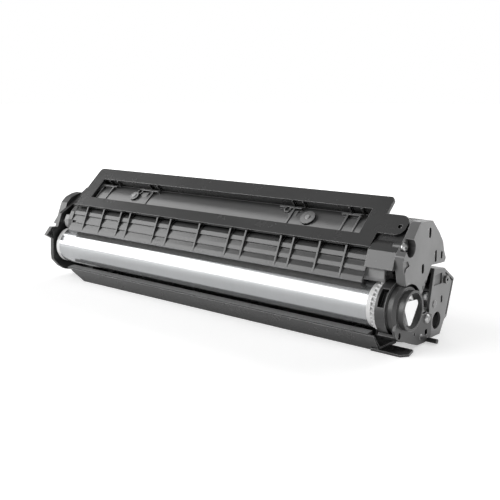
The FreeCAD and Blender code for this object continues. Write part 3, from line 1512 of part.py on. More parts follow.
def check_and_write():
    """Stops on a failed feature or a bad solid, then writes each sub-part to its own file."""
    document.recompute()
    for thing in document.Objects:
        if "Invalid" in thing.State or "Error" in thing.State:
            raise RuntimeError(f"{thing.Name} failed: {thing.State}")
        if thing.TypeId == "PartDesign::Pocket":
            if thing.Shape.Volume >= thing.BaseFeature.Shape.Volume:
                raise RuntimeError(f"{thing.Name} cuts nothing")
    os.makedirs("parts", exist_ok=True)
    for piece in PIECES:
        if piece.Shape.isNull() or not piece.Shape.isValid():
            raise RuntimeError(f"{piece.Label} has no valid shape")
        piece.Shape.exportStep(os.path.join("parts", piece.Label + ".step"))


phase_of_drum = make_drum()
make_charge_roller()
make_cleaning_frame()
make_bin_cover()
make_window_frame()
make_window_pins()
make_wiper()
make_charge_bearings()
make_drive_end_cap()
make_drum_bearing()
make_left_end()
make_hopper()
make_developer_covers()
make_lower_guard()
phase_of_roller = make_developer_roller(phase_of_drum)
make_gear_train(phase_of_roller)
make_screws()
check_and_write()
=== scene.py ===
import math

import bmesh
import bpy
from bpy.props import FloatProperty, FloatVectorProperty, PointerProperty
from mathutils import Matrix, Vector


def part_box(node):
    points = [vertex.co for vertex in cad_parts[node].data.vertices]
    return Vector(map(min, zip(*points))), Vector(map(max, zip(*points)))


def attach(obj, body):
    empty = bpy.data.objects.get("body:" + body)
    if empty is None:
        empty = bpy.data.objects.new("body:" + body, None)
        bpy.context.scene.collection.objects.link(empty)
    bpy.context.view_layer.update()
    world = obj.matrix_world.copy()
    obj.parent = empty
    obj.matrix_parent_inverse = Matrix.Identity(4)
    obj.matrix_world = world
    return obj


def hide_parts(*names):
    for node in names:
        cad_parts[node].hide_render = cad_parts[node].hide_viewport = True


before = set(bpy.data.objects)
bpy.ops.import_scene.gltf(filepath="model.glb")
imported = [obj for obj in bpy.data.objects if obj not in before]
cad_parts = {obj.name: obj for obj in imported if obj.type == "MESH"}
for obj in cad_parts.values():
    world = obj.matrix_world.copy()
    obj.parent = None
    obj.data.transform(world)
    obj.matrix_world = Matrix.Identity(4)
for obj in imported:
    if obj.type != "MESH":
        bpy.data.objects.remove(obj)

bl_info = {
    "name": "Toner cartridge",
    "version": (1, 0, 0),
    "blender": (4, 5, 0),
    "location": "View3D > Sidebar > Cartridge",
    "description": "Finishes, small parts and studio of a toner cartridge",
    "category": "Object",
}


# Kinds of setting

def tint(name, red, green, blue, description):
    """A colour."""
    return FloatVectorProperty(
        name=name, description=description, subtype="COLOR", size=3,
        default=(red, green, blue), min=0.0, max=1.0)


def grey(name, level, description):
    """A colour whose default is a neutral grey."""
    return tint(name, level, level, level, description)


def share(name, part, description, most=1.0):
    """A part of a whole."""
    return FloatProperty(name=name, description=description, subtype="FACTOR", default=part,
                         min=0.0, max=most)


def length(name, size, description):
    """A length in metres."""
    return FloatProperty(name=name, description=description, subtype="DISTANCE",
                         unit="LENGTH", default=size, precision=5)


def angle(name, degrees, description):
    """An angle."""
    return FloatProperty(name=name, description=description, subtype="ANGLE",
                         default=math.radians(degrees))


def place(name, x, y, z, description):
    """A point in metres."""
    return FloatVectorProperty(name=name, description=description, subtype="TRANSLATION",
                               unit="LENGTH", size=3, default=(x, y, z))


def extent(name, width, height, description):
    """The width and height of a lamp in metres."""
    return FloatVectorProperty(name=name, description=description, subtype="XYZ_LENGTH",
                               size=2, default=(width, height), min=0.01)


def power(name, watts, description):
    """The power of a lamp."""
    return FloatProperty(name=name, description=description, subtype="POWER", default=watts,
                         min=0.0)


# Settings that a user would change

class CartridgeColours(bpy.types.PropertyGroup):
    frame_black: grey("Frame", 0.045, "Glossy black plastic of the drum unit's frame")
    cover_black: grey("Bin cover", 0.078, "Satin dark plastic of the waste bin's cover")
    hopper_black: grey("Hopper", 0.040, "Satin black plastic of the hopper and its covers")
    cap_black: grey("Caps", 0.15, "Satin dark plastic of the end cap and the gear cover")
    bearing_black: grey("Bearing", 0.040, "Satin black plastic of the drum's bearing")
    white_plastic: grey("Gears", 0.78, "White plastic of the gears, flanges and coupling")
    bush_grey: grey("Bushes", 0.30, "Light grey plastic of the sliding bushes")
    film_white: tint("Film", 0.7, 0.7, 0.69, "Thin film of the agitator")
    drum_coat: tint("Drum", 0.52, 0.53, 0.54, "Coated surface of the drum")
    sleeve: tint("Sleeve", 0.32, 0.32, 0.33, "Blasted aluminium of the developer roller")
    steel: grey("Steel", 0.62, "Bare steel of screws, pins and shafts")
    rubber: grey("Rubber", 0.02, "Black rubber of the charge roller")
    blade_rubber: tint("Blade", 0.110, 0.104, 0.095, "Cast rubber of the two blades")
    magnet: tint("Magnet", 0.06, 0.055, 0.055, "Bonded magnet inside the developer roller")
    foam: grey("Foam", 0.17, "Foam of the guard's seal and felt pad")


class CartridgeSizes(bpy.types.PropertyGroup):
    head_height: length("Head height", 0.0016, "Height of a screw's head")
    head_dome: share("Head dome", 0.42, "How far a screw's head narrows to its top")
    recess_arm: length("Recess arm", 0.0029, "Length of the cross recess from tip to tip")
    recess_slit: length("Recess slit", 0.0007, "Width of the cross recess's arms")
    recess_depth: length("Recess depth", 0.0009, "Depth of the cross recess")
    shank_radius: length("Shank radius", 0.0012, "Radius of a screw's shank")
    boss_bore: length("Boss bore", 0.00125, "Radius of the hole in the end cap's boss")
    boss_gap: length("Boss gap", 0.00005, "Gap between the boss and the screw's head")
    boss_foot: share("Boss foot", 0.8, "Radius of the boss's foot over that of the head", 2.0)
    boss_face: share("Boss face", 1.02, "Radius of the boss's face over that of the head", 2.0)
    felt_inset: length("Felt inset", 0.006, "From the drum tube's left end to the felt pad")
    strip_thickness: length("Strip thickness", 0.0014, "Thickness of the end strip")
    strip_gap: length("Strip gap", 0.0001, "Gap between the end strip and its neighbours")
    strip_front: length("Strip front", -0.0085, "Place of the end strip's front edge on Y")
    crown_margin: length("Crown margin", 0.0073, "Flat margin at the rear of the bin cover")
    crown_fall: FloatProperty(
        name="Crown fall", description="Fall of the bin cover's front for each metre squared",
        default=25.0, min=0.0)


class CartridgeStudio(bpy.types.PropertyGroup):
    camera_place: place("Camera place", 0.3238, -0.366645, 0.1317024, "Where the camera stands")
    azimuth: angle("Azimuth", 39.81, "Turn of the view from the front towards the drive end")
    elevation: angle("Elevation", 11.51, "Height of the view above the horizon")
    lens: FloatProperty(
        name="Lens", description="Focal length", subtype="DISTANCE_CAMERA", default=57.485)
    aim: place("Aim", 0.0, 0.0, 0.04, "The point that the lamps face")
    key: power("Key lamp", 14.0, "Power of the large soft box at the front left")
    key_place: place("Key place", -0.742, -0.795, 0.547, "Middle of the large soft box")
    key_size: extent("Key size", 1.4, 0.87, "Width and height of the large soft box")
    fill: power("Fill lamp", 9.5, "Power of the lamp at the drive end")
    fill_place: place("Fill place", 1.15, 0.16, 0.075, "Middle of the lamp at the drive end")
    fill_size: extent("Fill size", 0.45, 0.14, "Width and height of the lamp at the drive end")
    rim: power("Rim lamp", 9.0, "Power of the soft box behind the cartridge")
    rim_place: place("Rim place", 0.10, 1.05, 0.80, "Middle of the soft box at the back")
    rim_size: extent("Rim size", 1.4, 0.5, "Width and height of the soft box at the back")
    sky_low: share("Low sky", 0.20, "Light from all round near the horizon")
    sky_high: share("High sky", 0.36, "Light from above")
    sky_right: share("Right sky", 0.30, "Share of the light that comes from the drive end")
    floor_radius: length("Floor radius", 6.0, "Radius of the round floor")
    floor_near: length("Floor near", 0.28, "How far from the middle the floor is shaded")
    floor_far: length("Floor far", 0.75, "How far from the middle the floor is white")
    floor_glow: share("Floor glow", 0.46, "How far the floor shines near the cartridge")
    floor_mirrored: share("Floor mirrored", 0.45, "Share of the shine that gloss reflects")


# Node trees

class Value:
    """One output of a node; arithmetic on it adds Math nodes to its tree."""

    def __init__(self, nodes, socket):
        self.nodes = nodes
        self.socket = socket

    def __add__(self, other):
        return self.nodes.maths("ADD", self, other)

    def __sub__(self, other):
        return self.nodes.maths("SUBTRACT", self, other)

    def __rsub__(self, other):
        return self.nodes.maths("SUBTRACT", other, self)

    def __mul__(self, other):
        return self.nodes.maths("MULTIPLY", self, other)

    def __truediv__(self, other):
        return self.nodes.maths("DIVIDE", self, other)

    __radd__ = __add__
    __rmul__ = __mul__

    def clamped(self):
        """The value held between 0 and 1."""
        return self.nodes.add("ShaderNodeClamp", None, self)

    def between(self, low, high, start=0.0, end=1.0):
        """From start, below low, to end, above high, in a smooth step."""
        return self.nodes.add("ShaderNodeMapRange", {"interpolation_type": "SMOOTHSTEP"},
                              self, low, high, start, end)


class Nodes:
    """A node tree and the one way in which its nodes are made."""

    def __init__(self, tree):
        self.tree = tree
        self.tree.nodes.clear()

    def add(self, kind, settings=None, *values, output=0, **named):
        """Makes a node: its settings first, then its sockets' values or links."""
        node = self.tree.nodes.new(kind)
        for name, setting in (settings or {}).items():
            setattr(node, name, setting)
        enabled = [socket for socket in node.inputs if socket.enabled]
        pairs = list(zip(enabled, values))
        pairs += [(node.inputs[name.replace("_", " ")], value) for name, value in named.items()]
        for socket, value in pairs:
            if isinstance(value, Value):
                self.tree.links.new(value.socket, socket)
            elif value is not None:
                socket.default_value = value
        if output is None:
            return node
        shown = [socket for socket in node.outputs if socket.enabled]
        return Value(self, shown[output] if isinstance(output, int) else node.outputs[output])

    def maths(self, operation, *values):
        """A Math node."""
        return self.add("ShaderNodeMath", {"operation": operation}, *values)

    def ray(self, *names):
        """1 where the light path is of one of the named kinds, and 0 elsewhere."""
        path = self.add("ShaderNodeLightPath", None, output=None)
        return sum(Value(self, path.outputs[name]) for name in names).clamped()

    def parts(self, point):
        """X, Y and Z of a vector."""
        node = self.add("ShaderNodeSeparateXYZ", None, point, output=None)
        return [Value(self, socket) for socket in node.outputs]


# Materials

EDGE_SAMPLES = 6
RECESS_SAMPLES = 8

# The materials by name, once the finishes operator has made them
FINISHES = {}


class Finish(Nodes):
    """A material, its textures and its surface shader."""

    def __init__(self, name):
        self.material = bpy.data.materials.new(name)
        self.material.use_nodes = True
        super().__init__(self.material.node_tree)
        self.output = self.add("ShaderNodeOutputMaterial", None, output=None)

    def place(self, scale=(1.0, 1.0, 1.0)):
        """Object coordinates in metres, stretched along each axis."""
        point = self.add("ShaderNodeTexCoord", None, output="Object")
        return self.add("ShaderNodeMapping", None, point, Scale=scale)

    def noise(self, scale=1.0, detail=3.0, roughness=0.5, stretch=(1.0, 1.0, 1.0)):
        """A cloud of so many lumps a metre."""
        return self.add(
            "ShaderNodeTexNoise", {"noise_dimensions": "3D"}, self.place(stretch),
            Scale=scale, Detail=detail, Roughness=roughness)

    def cells(self, scale):
        """The distance to the nearest of so many points a metre."""
        return self.add("ShaderNodeTexVoronoi", {"feature": "F1"}, self.place(), Scale=scale)

    def blend(self, factor, first, second):
        """A colour between two colours."""
        return self.add("ShaderNodeMix", {"data_type": "RGBA"}, factor, first, second)

    def shades(self, factor, colour, start, end):
        """A colour that runs from one shade of a colour to another."""
        return self.blend(factor, rgba(colour, start), rgba(colour, end))

    def bump(self, height, depth, edge=0.0, base=None):
        """A surface relief, on edges softened to a radius or over another relief."""
        if edge > 0.0:
            base = self.add("ShaderNodeBevel", {"samples": EDGE_SAMPLES}, edge)
        return self.add("ShaderNodeBump", None, Strength=1.0, Distance=depth, Height=height,
                        Normal=base)

    def edges(self, radius):
        """1 on the edges of the moulding and 0 on its flat and gently curved faces."""
        bent, flat = 0.80, 0.99
        rounded = self.add("ShaderNodeBevel", {"samples": EDGE_SAMPLES}, radius)
        face = self.add("ShaderNodeNewGeometry", None, output="Normal")
        agree = self.add("ShaderNodeVectorMath", {"operation": "DOT_PRODUCT"}, rounded, face,
                         output="Value")
        return agree.between(bent, flat, start=1.0, end=0.0)

    def open_air(self, reach):
        """1 where a face lies open and 0 deep in a narrow recess."""
        shut, open_wide = 0.25, 0.75
        seen = self.add("ShaderNodeAmbientOcclusion", {"samples": RECESS_SAMPLES},
                        Distance=reach, output="AO")
        return seen.between(shut, open_wide)

    def close(self, **sockets):
        """The surface shader, linked to the output."""
        surface = self.add("ShaderNodeBsdfPrincipled", None, **sockets)
        self.tree.links.new(surface.socket, self.output.inputs["Surface"])
        return self.material


def rgba(colour, factor=1.0):
    """An opaque colour, made darker or paler by a factor."""
    return tuple(min(c * factor, 1.0) for c in colour) + (1.0,)


def moulded_plastic(name, colour, roughness, grain=0.00002, bow=None):
    """Moulded plastic: eroded grain, flow marks, dust, painted edge highlights, painted shade
    in recesses.

    bow is a function that gives the height of a wide crown on the finish, in metres.
    """
    edge_radius, edge_highlight_share, edge_highlight_rise = 0.0004, 0.8, 0.34
    recess_reach, recess_shade = 0.012, 0.05
    dust, dust_shade = 0.12, 3.0
    flow_spread, handled_spread, lowest = 0.10, 0.07, roughness - 0.07
    fine_part, flow_part = 0.7, 0.3
    finish = Finish(name)
    flow = finish.noise(scale=22.0, detail=4.0, roughness=0.6, stretch=(0.35, 1.0, 1.0))
    fine = finish.noise(scale=3200.0, detail=2.0)
    handled = finish.noise(scale=90.0, detail=5.0, roughness=0.65).between(low=0.52, high=0.72)
    grains = finish.cells(scale=900.0).between(low=0.05, high=0.16, start=1.0, end=0.0)
    drifts = finish.noise(scale=160.0).between(low=0.5, high=0.62)
    pale = [c + edge_highlight_rise for c in colour]
    clean = finish.shades(flow.between(low=0.3, high=0.7), colour, start=0.85, end=1.2)
    # Painted shade: the colour darkens to near black deep in recesses, where shade falls.
    painted_recess_shade = finish.blend(finish.open_air(recess_reach), rgba(colour, recess_shade), clean)
    # Painted highlight: the edges turn paler, standing in for light glinting on rounded edges.
    painted_edge_highlight = finish.blend(finish.edges(edge_radius) * edge_highlight_share, painted_recess_shade, rgba(pale))
    relief = finish.bump(fine * fine_part + flow * flow_part, grain, edge_radius)
    if bow:
        relief = finish.bump(bow(finish), depth=1.0, base=relief)
    return finish.close(
        Base_Color=finish.blend(grains * drifts * dust, painted_edge_highlight, rgba(colour, dust_shade)),
        Roughness=(flow * flow_spread + handled * handled_spread + lowest).clamped(),
        Normal=relief,
        Specular_IOR_Level=0.65)


def cover_crown(finish):
    """The waste bin's cover falls away towards its front in a wide curve."""
    sizes = bpy.context.scene.cartridge_sizes
    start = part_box("window_frame")[1].y - sizes.crown_margin
    fallen = finish.maths("MAXIMUM", start - finish.parts(finish.place())[1], 0.0)
    return fallen * fallen * -sizes.crown_fall


def gear_plastic(name, colour, roughness=0.32):
    """White plastic: slightly cloudy and waxy, with grey patches where it is worn."""
    cloud_part, cloud_spread, lowest = 0.5, 0.12, roughness - 0.06
    wear, wear_shade = 0.18, 0.72
    finish = Finish(name)
    cloud = finish.noise(scale=60.0)
    fine = finish.noise(scale=1800.0, detail=2.0)
    worn = finish.noise(scale=240.0, detail=4.0, roughness=0.7).between(low=0.60, high=0.78)
    base = finish.shades(cloud * cloud_part, colour, start=0.97, end=1.03)
    return finish.close(
        Base_Color=finish.blend(worn * wear, base, rgba(colour, wear_shade)),
        Roughness=(cloud * cloud_spread + lowest).clamped(),
        Normal=finish.bump(fine, depth=0.000015, edge=0.0003))


def coated_drum(name, colour):
    """The drum's coating over turned aluminium: a clear gloss, hair lines and wipe marks."""
    plain_reach, end_reach, end_wear, end_shade = 0.118322, 0.125, 0.2, 0.75
    wipe, wipe_shade = 0.15, 0.82
    wipe_spread, lowest = 0.08, 0.17
    finish = Finish(name)
    along = finish.parts(finish.place())[0]
    turned = finish.noise(roughness=0.6, stretch=(5200.0, 25.0, 25.0))
    wiped = finish.noise(detail=4.0, roughness=0.6, stretch=(9.0, 260.0, 260.0))
    ends = (along * along).between(plain_reach ** 2, end_reach ** 2)
    base = finish.shades(turned.between(low=0.35, high=0.65), colour, start=0.96, end=1.04)
    smears = wiped.between(low=0.55, high=0.8)
    base = finish.blend(smears * wipe, base, rgba(colour, wipe_shade))
    return finish.close(
        Base_Color=finish.blend(ends * end_wear, base, rgba(colour, end_shade)),
        Metallic=0.85,
        Roughness=(wiped * wipe_spread + lowest).clamped(),
        Coat_Weight=0.6,
        Coat_Roughness=0.06,
        Normal=finish.bump(turned, depth=0.000002))


def bare_steel(name, colour, roughness=0.30, streak=(60.0, 1400.0, 1400.0)):
    """Plated steel with drawn streaks and a few dull spots."""
    streak_spread, spot_spread, lowest = 0.18, 0.15, roughness - 0.09
    spot_part = 0.5
    finish = Finish(name)
    streaks = finish.noise(roughness=0.6, stretch=streak)
    spots = finish.noise(scale=520.0, detail=4.0, roughness=0.7).between(low=0.62, high=0.80)
    return finish.close(
        Base_Color=finish.shades(spots * spot_part, colour, start=1.0, end=0.55),
        Metallic=1.0,
        Roughness=(streaks * streak_spread + spots * spot_spread + lowest).clamped(),
        Normal=finish.bump(streaks, depth=0.000008, edge=0.0002))


def soft_rubber(name, colour, roughness=0.55, grain=0.00001):
    """Ground rubber: an even, dull skin with fine grinding lines round it."""
    ground_spread, lowest = 0.12, roughness - 0.06
    finish = Finish(name)
    ground = finish.noise(detail=2.0, stretch=(4200.0, 120.0, 120.0))
    cloud = finish.noise(scale=35.0)
    return finish.close(
        Base_Color=finish.shades(cloud, colour, start=0.85, end=1.25),
        Roughness=(ground * ground_spread + lowest).clamped(),
        Normal=finish.bump(ground, grain, edge=0.0002))


def blasted_sleeve(name, colour):
    """The developer roller's sleeve: aluminium blasted to a fine, even roughness."""
    cloud_spread, lowest = 0.1, 0.5
    finish = Finish(name)
    pits = finish.cells(scale=3600.0)
    cloud = finish.noise(scale=40.0)
    return finish.close(
        Base_Color=finish.shades(pits.between(low=0.1, high=0.6), colour, start=0.8, end=1.1),
        Metallic=0.9,
        Roughness=(cloud * cloud_spread + lowest).clamped(),
        Normal=finish.bump(pits, depth=0.00002))


def open_foam(name, colour):
    """Sealing foam: small open cells."""
    finish = Finish(name)
    holes = finish.cells(scale=1700.0)
    return finish.close(
        Base_Color=finish.shades(holes.between(low=0.1, high=0.5), colour, start=0.5, end=1.2),
        Roughness=0.95,
        Normal=finish.bump(holes, depth=0.00012))


# Pieces

HEAD_SIDES = 48
HEAD_RINGS = 8
SHANK_SIDES = 32
BOSS_SIDES = 40

# Y and Z of the felt pad's corners, from the lower guard's front and its top
FELT_PROFILE = ((0.0016, -0.0006), (0.0072, 0.0002), (0.0072, -0.0013), (0.0023, -0.0016))


def linked(name, data):
    """A new object in the scene."""
    thing = bpy.data.objects.new(name, data)
    bpy.context.collection.objects.link(thing)
    return thing


def mesh_of(shape, name):
    """The mesh of a bmesh, which is freed."""
    mesh = bpy.data.meshes.new(name)
    shape.to_mesh(mesh)
    shape.free()
    return mesh


def set_material(piece, material):
    """Puts one material on every slot of a piece."""
    if not piece.material_slots:
        piece.data.materials.append(material)
    for slot in piece.material_slots:
        slot.material = material


def add_piece(shape, name, finish, body):
    """Makes a piece of a closed bmesh, with its finish and its body."""
    bmesh.ops.recalc_face_normals(shape, faces=shape.faces)
    piece = linked(name, mesh_of(shape, name))
    set_material(piece, FINISHES[finish])
    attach(piece, body)


def bridge(shape, first, second):
    """Makes the faces between two closed rows of points."""
    for i in range(len(first)):
        j = (i + 1) % len(first)
        shape.faces.new((first[i], second[i], second[j], first[j]))


def prism(profile, start, end):
    """A closed bmesh along X with a profile of Y and Z."""
    shape = bmesh.new()
    first, last = [[shape.verts.new((x, y, z)) for y, z in profile] for x in (start, end)]
    shape.faces.new(first)
    shape.faces.new(reversed(last))
    bridge(shape, first, last)
    return shape


def turned_ring(profile, y, z, sides):
    """A closed bmesh of a profile of X and radius, turned round an axis along X."""
    shape = bmesh.new()
    rows = []
    for side in range(sides):
        turn = 2 * math.pi * side / sides
        rows.append([shape.verts.new((x, y + r * math.cos(turn), z + r * math.sin(turn)))
                     for x, r in profile])
    for first, second in zip(rows, rows[1:] + rows[:1]):
        bridge(shape, first, second)
    return shape


class Shape(Nodes):
    """A geometry node tree with named sizes in metres."""

    def __init__(self, name, **sizes):
        tree = bpy.data.node_groups.new(name, "GeometryNodeTree")
        tree.interface.new_socket("Geometry", in_out="OUTPUT", socket_type="NodeSocketGeometry")
        for title, size in sizes.items():
            socket = tree.interface.new_socket(
                title, in_out="INPUT", socket_type="NodeSocketFloat")
            socket.default_value = size
        super().__init__(tree)
        self.sizes = self.add("NodeGroupInput", None, output=None)

    def __getitem__(self, title):
        return Value(self, self.sizes.outputs[title])

    def vector(self, x=0.0, y=0.0, z=0.0):
        """A vector of three values."""
        return self.add("ShaderNodeCombineXYZ", None, x, y, z)

    def moved(self, shape, shift, turn=(0.0, 0.0, 0.0)):
        """A shape turned and then moved."""
        return self.add("GeometryNodeTransform", None, Geometry=shape, Translation=shift,
                        Rotation=turn)

    def cylinder(self, radius, depth, sides, rings=1):
        """A cylinder along Z round the origin."""
        return self.add("GeometryNodeMeshCylinder", None, Vertices=sides, Side_Segments=rings,
                        Fill_Segments=1, Radius=radius, Depth=depth)

    def end(self, shape, material):
        """Realizes the instances, sets the material and closes the tree."""
        real = self.add("GeometryNodeRealizeInstances", None, shape)
        done = self.add("GeometryNodeSetMaterial", None, Geometry=real, Material=material)
        self.add("NodeGroupOutput", None, done, output=None)
        return self.tree


def grown(name, tree, sizes):
    """The plain mesh object that a geometry node tree makes with some of its sizes set."""
    carrier = linked(name, bpy.data.meshes.new(name + " start"))
    modifier = carrier.modifiers.new(name, "NODES")
    modifier.node_group = tree
    for item in tree.interface.items_tree:
        if item.in_out == "INPUT" and item.name in sizes:
            modifier[item.identifier] = sizes[item.name]
    graph = bpy.context.evaluated_depsgraph_get()
    mesh = bpy.data.meshes.new_from_object(carrier.evaluated_get(graph), depsgraph=graph)
    mesh.name = name
    carrier.modifiers.remove(modifier)
    carrier.data = mesh
    return carrier


def screw_tree(sizes, material):
    """A pan-head screw along X: a domed head with a cross recess, and its plain shank.

    Each screw sets its own Radius, Reach, Seat, Across and Up.
    """
    quarter = math.pi / 2
    shape = Shape("pan head screw", Radius=0.0025, Reach=0.005, Seat=0.0, Across=0.0, Up=0.0,
                  Head=sizes.head_height, Dome=sizes.head_dome, Shank=sizes.shank_radius,
                  Arm=sizes.recess_arm, Slit=sizes.recess_slit, Depth=sizes.recess_depth)
    head = shape.cylinder(shape["Radius"], shape["Head"], HEAD_SIDES, HEAD_RINGS)
    x, y, z = shape.parts(shape.add("GeometryNodeInputPosition"))
    rise = (z / shape["Head"] + 0.5).clamped()
    width = 1.0 - rise * rise * rise * shape["Dome"]
    head = shape.add("GeometryNodeSetPosition", None, Geometry=head,
                     Position=shape.vector(x * width, y * width, z))
    cut = shape.add("GeometryNodeMeshBoolean", {"operation": "DIFFERENCE"}, output=None)
    shape.tree.links.new(head.socket, cut.inputs[0])
    half_up = shape.vector(z=shape["Head"] * 0.5)
    for turn in (0.0, quarter):
        bar = shape.add("GeometryNodeMeshCube", None, Size=shape.vector(
            shape["Arm"], shape["Slit"], shape["Depth"] * 2.0))
        shape.tree.links.new(shape.moved(bar, half_up, (0.0, 0.0, turn)).socket, cut.inputs[1])
    head = shape.moved(Value(shape, cut.outputs[0]), half_up)
    shank = shape.moved(shape.cylinder(shape["Shank"], shape["Reach"], SHANK_SIDES),
                        shape.vector(z=shape["Reach"] * -0.5))
    both = shape.add("GeometryNodeJoinGeometry", output=None)
    for part in (shank, head):
        shape.tree.links.new(part.socket, both.inputs[0])
    laid = shape.moved(Value(shape, both.outputs[0]),
                       shape.vector(shape["Seat"], shape["Across"], shape["Up"]),
                       (0.0, quarter, 0.0))
    return shape.end(laid, material)


class CARTRIDGE_OT_screws(bpy.types.Operator):
    """Makes the cross-recessed screws of the end cap and the drum's bearing"""
    bl_idname = "cartridge.screws"
    bl_label = "Screws"

    def execute(self, context):
        sizes = context.scene.cartridge_sizes
        tree = screw_tree(sizes, FINISHES["screw steel"])
        for node in ("cap_screws", "bearing_screws"):
            low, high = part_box(node)
            middle = (low + high) / 2
            seat = high.x - sizes.head_height
            screw = grown("recessed_" + node, tree, {
                "Radius": (high.z - low.z) / 2, "Reach": seat - low.x, "Seat": seat,
                "Across": middle.y, "Up": middle.z})
            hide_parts(node)
            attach(screw, "drum_unit")
        return {"FINISHED"}


class CARTRIDGE_OT_cap_boss(bpy.types.Operator):
    """Makes the tapered boss that the end cap's screw goes through"""
    bl_idname = "cartridge.cap_boss"
    bl_label = "Cap boss"

    def execute(self, context):
        sizes = context.scene.cartridge_sizes
        low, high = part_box("cap_screws")
        middle = (low + high) / 2
        radius = (high.z - low.z) / 2
        face = high.x - sizes.head_height - sizes.boss_gap
        profile = [(low.x, sizes.boss_bore), (low.x, radius * sizes.boss_foot),
                   (face, radius * sizes.boss_face), (face, sizes.boss_bore)]
        add_piece(turned_ring(profile, middle.y, middle.z, BOSS_SIDES), "cap_boss",
                  "bearing black", "drum_unit")
        return {"FINISHED"}


class CARTRIDGE_OT_guard_felt(bpy.types.Operator):
    """Makes the felt pad that shows between the drum and the lower guard"""
    bl_idname = "cartridge.guard_felt"
    bl_label = "Guard felt"

    def execute(self, context):
        sizes = context.scene.cartridge_sizes
        low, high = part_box("lower_guard")
        tube_low, tube_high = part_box("drum_tube")
        profile = [(low.y + y, high.z + z) for y, z in FELT_PROFILE]
        add_piece(prism(profile, tube_low.x + sizes.felt_inset, tube_high.x), "guard_felt",
                  "seal foam", "developer_unit")
        return {"FINISHED"}


class CARTRIDGE_OT_end_strip(bpy.types.Operator):
    """Makes the strip that closes the gap between the lower guard and the left cover"""
    bl_idname = "cartridge.end_strip"
    bl_label = "End strip"

    def execute(self, context):
        sizes = context.scene.cartridge_sizes
        low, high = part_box("lower_guard")
        cover_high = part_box("left_developer_cover")[1]
        bottom = low.z + 2 * sizes.strip_gap
        top = bottom + sizes.strip_thickness
        profile = [(sizes.strip_front, bottom), (high.y, bottom), (high.y, top),
                   (sizes.strip_front, top)]
        add_piece(prism(profile, cover_high.x + sizes.strip_gap, low.x - sizes.strip_gap),
                  "end_strip", "hopper black", "developer_unit")
        return {"FINISHED"}


class CARTRIDGE_OT_finishes(bpy.types.Operator):
    """Gives every moulded, turned or punched sub-part its finish"""
    bl_idname = "cartridge.finishes"
    bl_label = "Finishes"

    def execute(self, context):
        colours = context.scene.cartridge_colours
        nodes = {
            moulded_plastic("frame black", colours.frame_black, roughness=0.27):
                ("cleaning_frame", "lower_guard", "window_frame"),
            moulded_plastic("bin cover grey", colours.cover_black, roughness=0.34,
                            grain=0.00003, bow=cover_crown):
                ("bin_cover",),
            moulded_plastic("hopper black", colours.hopper_black, roughness=0.40,
                            grain=0.00003):
                ("toner_hopper", "hopper_lid", "left_developer_cover", "idler_post"),
            moulded_plastic("cap black", colours.cap_black, roughness=0.36):
                ("drive_end_cap", "gear_cover"),
            moulded_plastic("bearing black", colours.bearing_black, roughness=0.33):
                ("drum_bearing", "left_end_cap", "left_side_plate"),
            gear_plastic("gear white", colours.white_plastic):
                ("drive_flange", "left_flange", "roller_gear", "idler_gear", "agitator_gear",
                 "spacer_rings"),
            gear_plastic("bush grey", colours.bush_grey, roughness=0.40):
                ("charge_bushes", "roller_bushes", "fill_plug", "agitator_shaft"),
            gear_plastic("agitator film", colours.film_white, roughness=0.25):
                ("agitator_film",),
            coated_drum("drum coating", colours.drum_coat):
                ("drum_tube",),
            blasted_sleeve("blasted sleeve", colours.sleeve):
                ("roller_sleeve",),
            bare_steel("screw steel", colours.steel):
                ("cap_screws", "bearing_screws", "window_pins"),
            bare_steel("shaft steel", colours.steel, roughness=0.24,
                       streak=(1500.0, 80.0, 80.0)):
                ("charge_shaft", "drum_pin", "hinge_pins"),
            bare_steel("sheet steel", colours.steel, roughness=0.34,
                       streak=(40.0, 900.0, 900.0)):
                ("wiper_bracket", "doctor_bracket"),
            soft_rubber("roller rubber", colours.rubber):
                ("charge_rubber",),
            soft_rubber("blade rubber", colours.blade_rubber, roughness=0.40,
                        grain=0.000004):
                ("wiper_blade", "doctor_blade"),
            soft_rubber("magnet black", colours.magnet, roughness=0.6):
                ("magnet_core",),
            open_foam("seal foam", colours.foam):
                ("guard_seal",),
        }
        dressed = set()
        for material, names in nodes.items():
            FINISHES[material.name] = material
            for name in names:
                set_material(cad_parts[name], material)
                dressed.add(name)
        bare = set(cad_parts) - dressed
        if bare:
            raise RuntimeError(f"no finish for {sorted(bare)}")
        return {"FINISHED"}


# Studio

SENSOR_WIDTH = 36.0
CLIP_NEAR = 0.01
CLIP_FAR = 30.0
FLOOR_SIDES = 96
WHITE = (1.0, 1.0, 1.0, 1.0)


def turn_towards(thing, direction):
    """Turns a camera or a lamp so that it looks along a direction."""
    thing.rotation_mode = "QUATERNION"
    thing.rotation_quaternion = direction.to_track_quat("-Z", "Y")


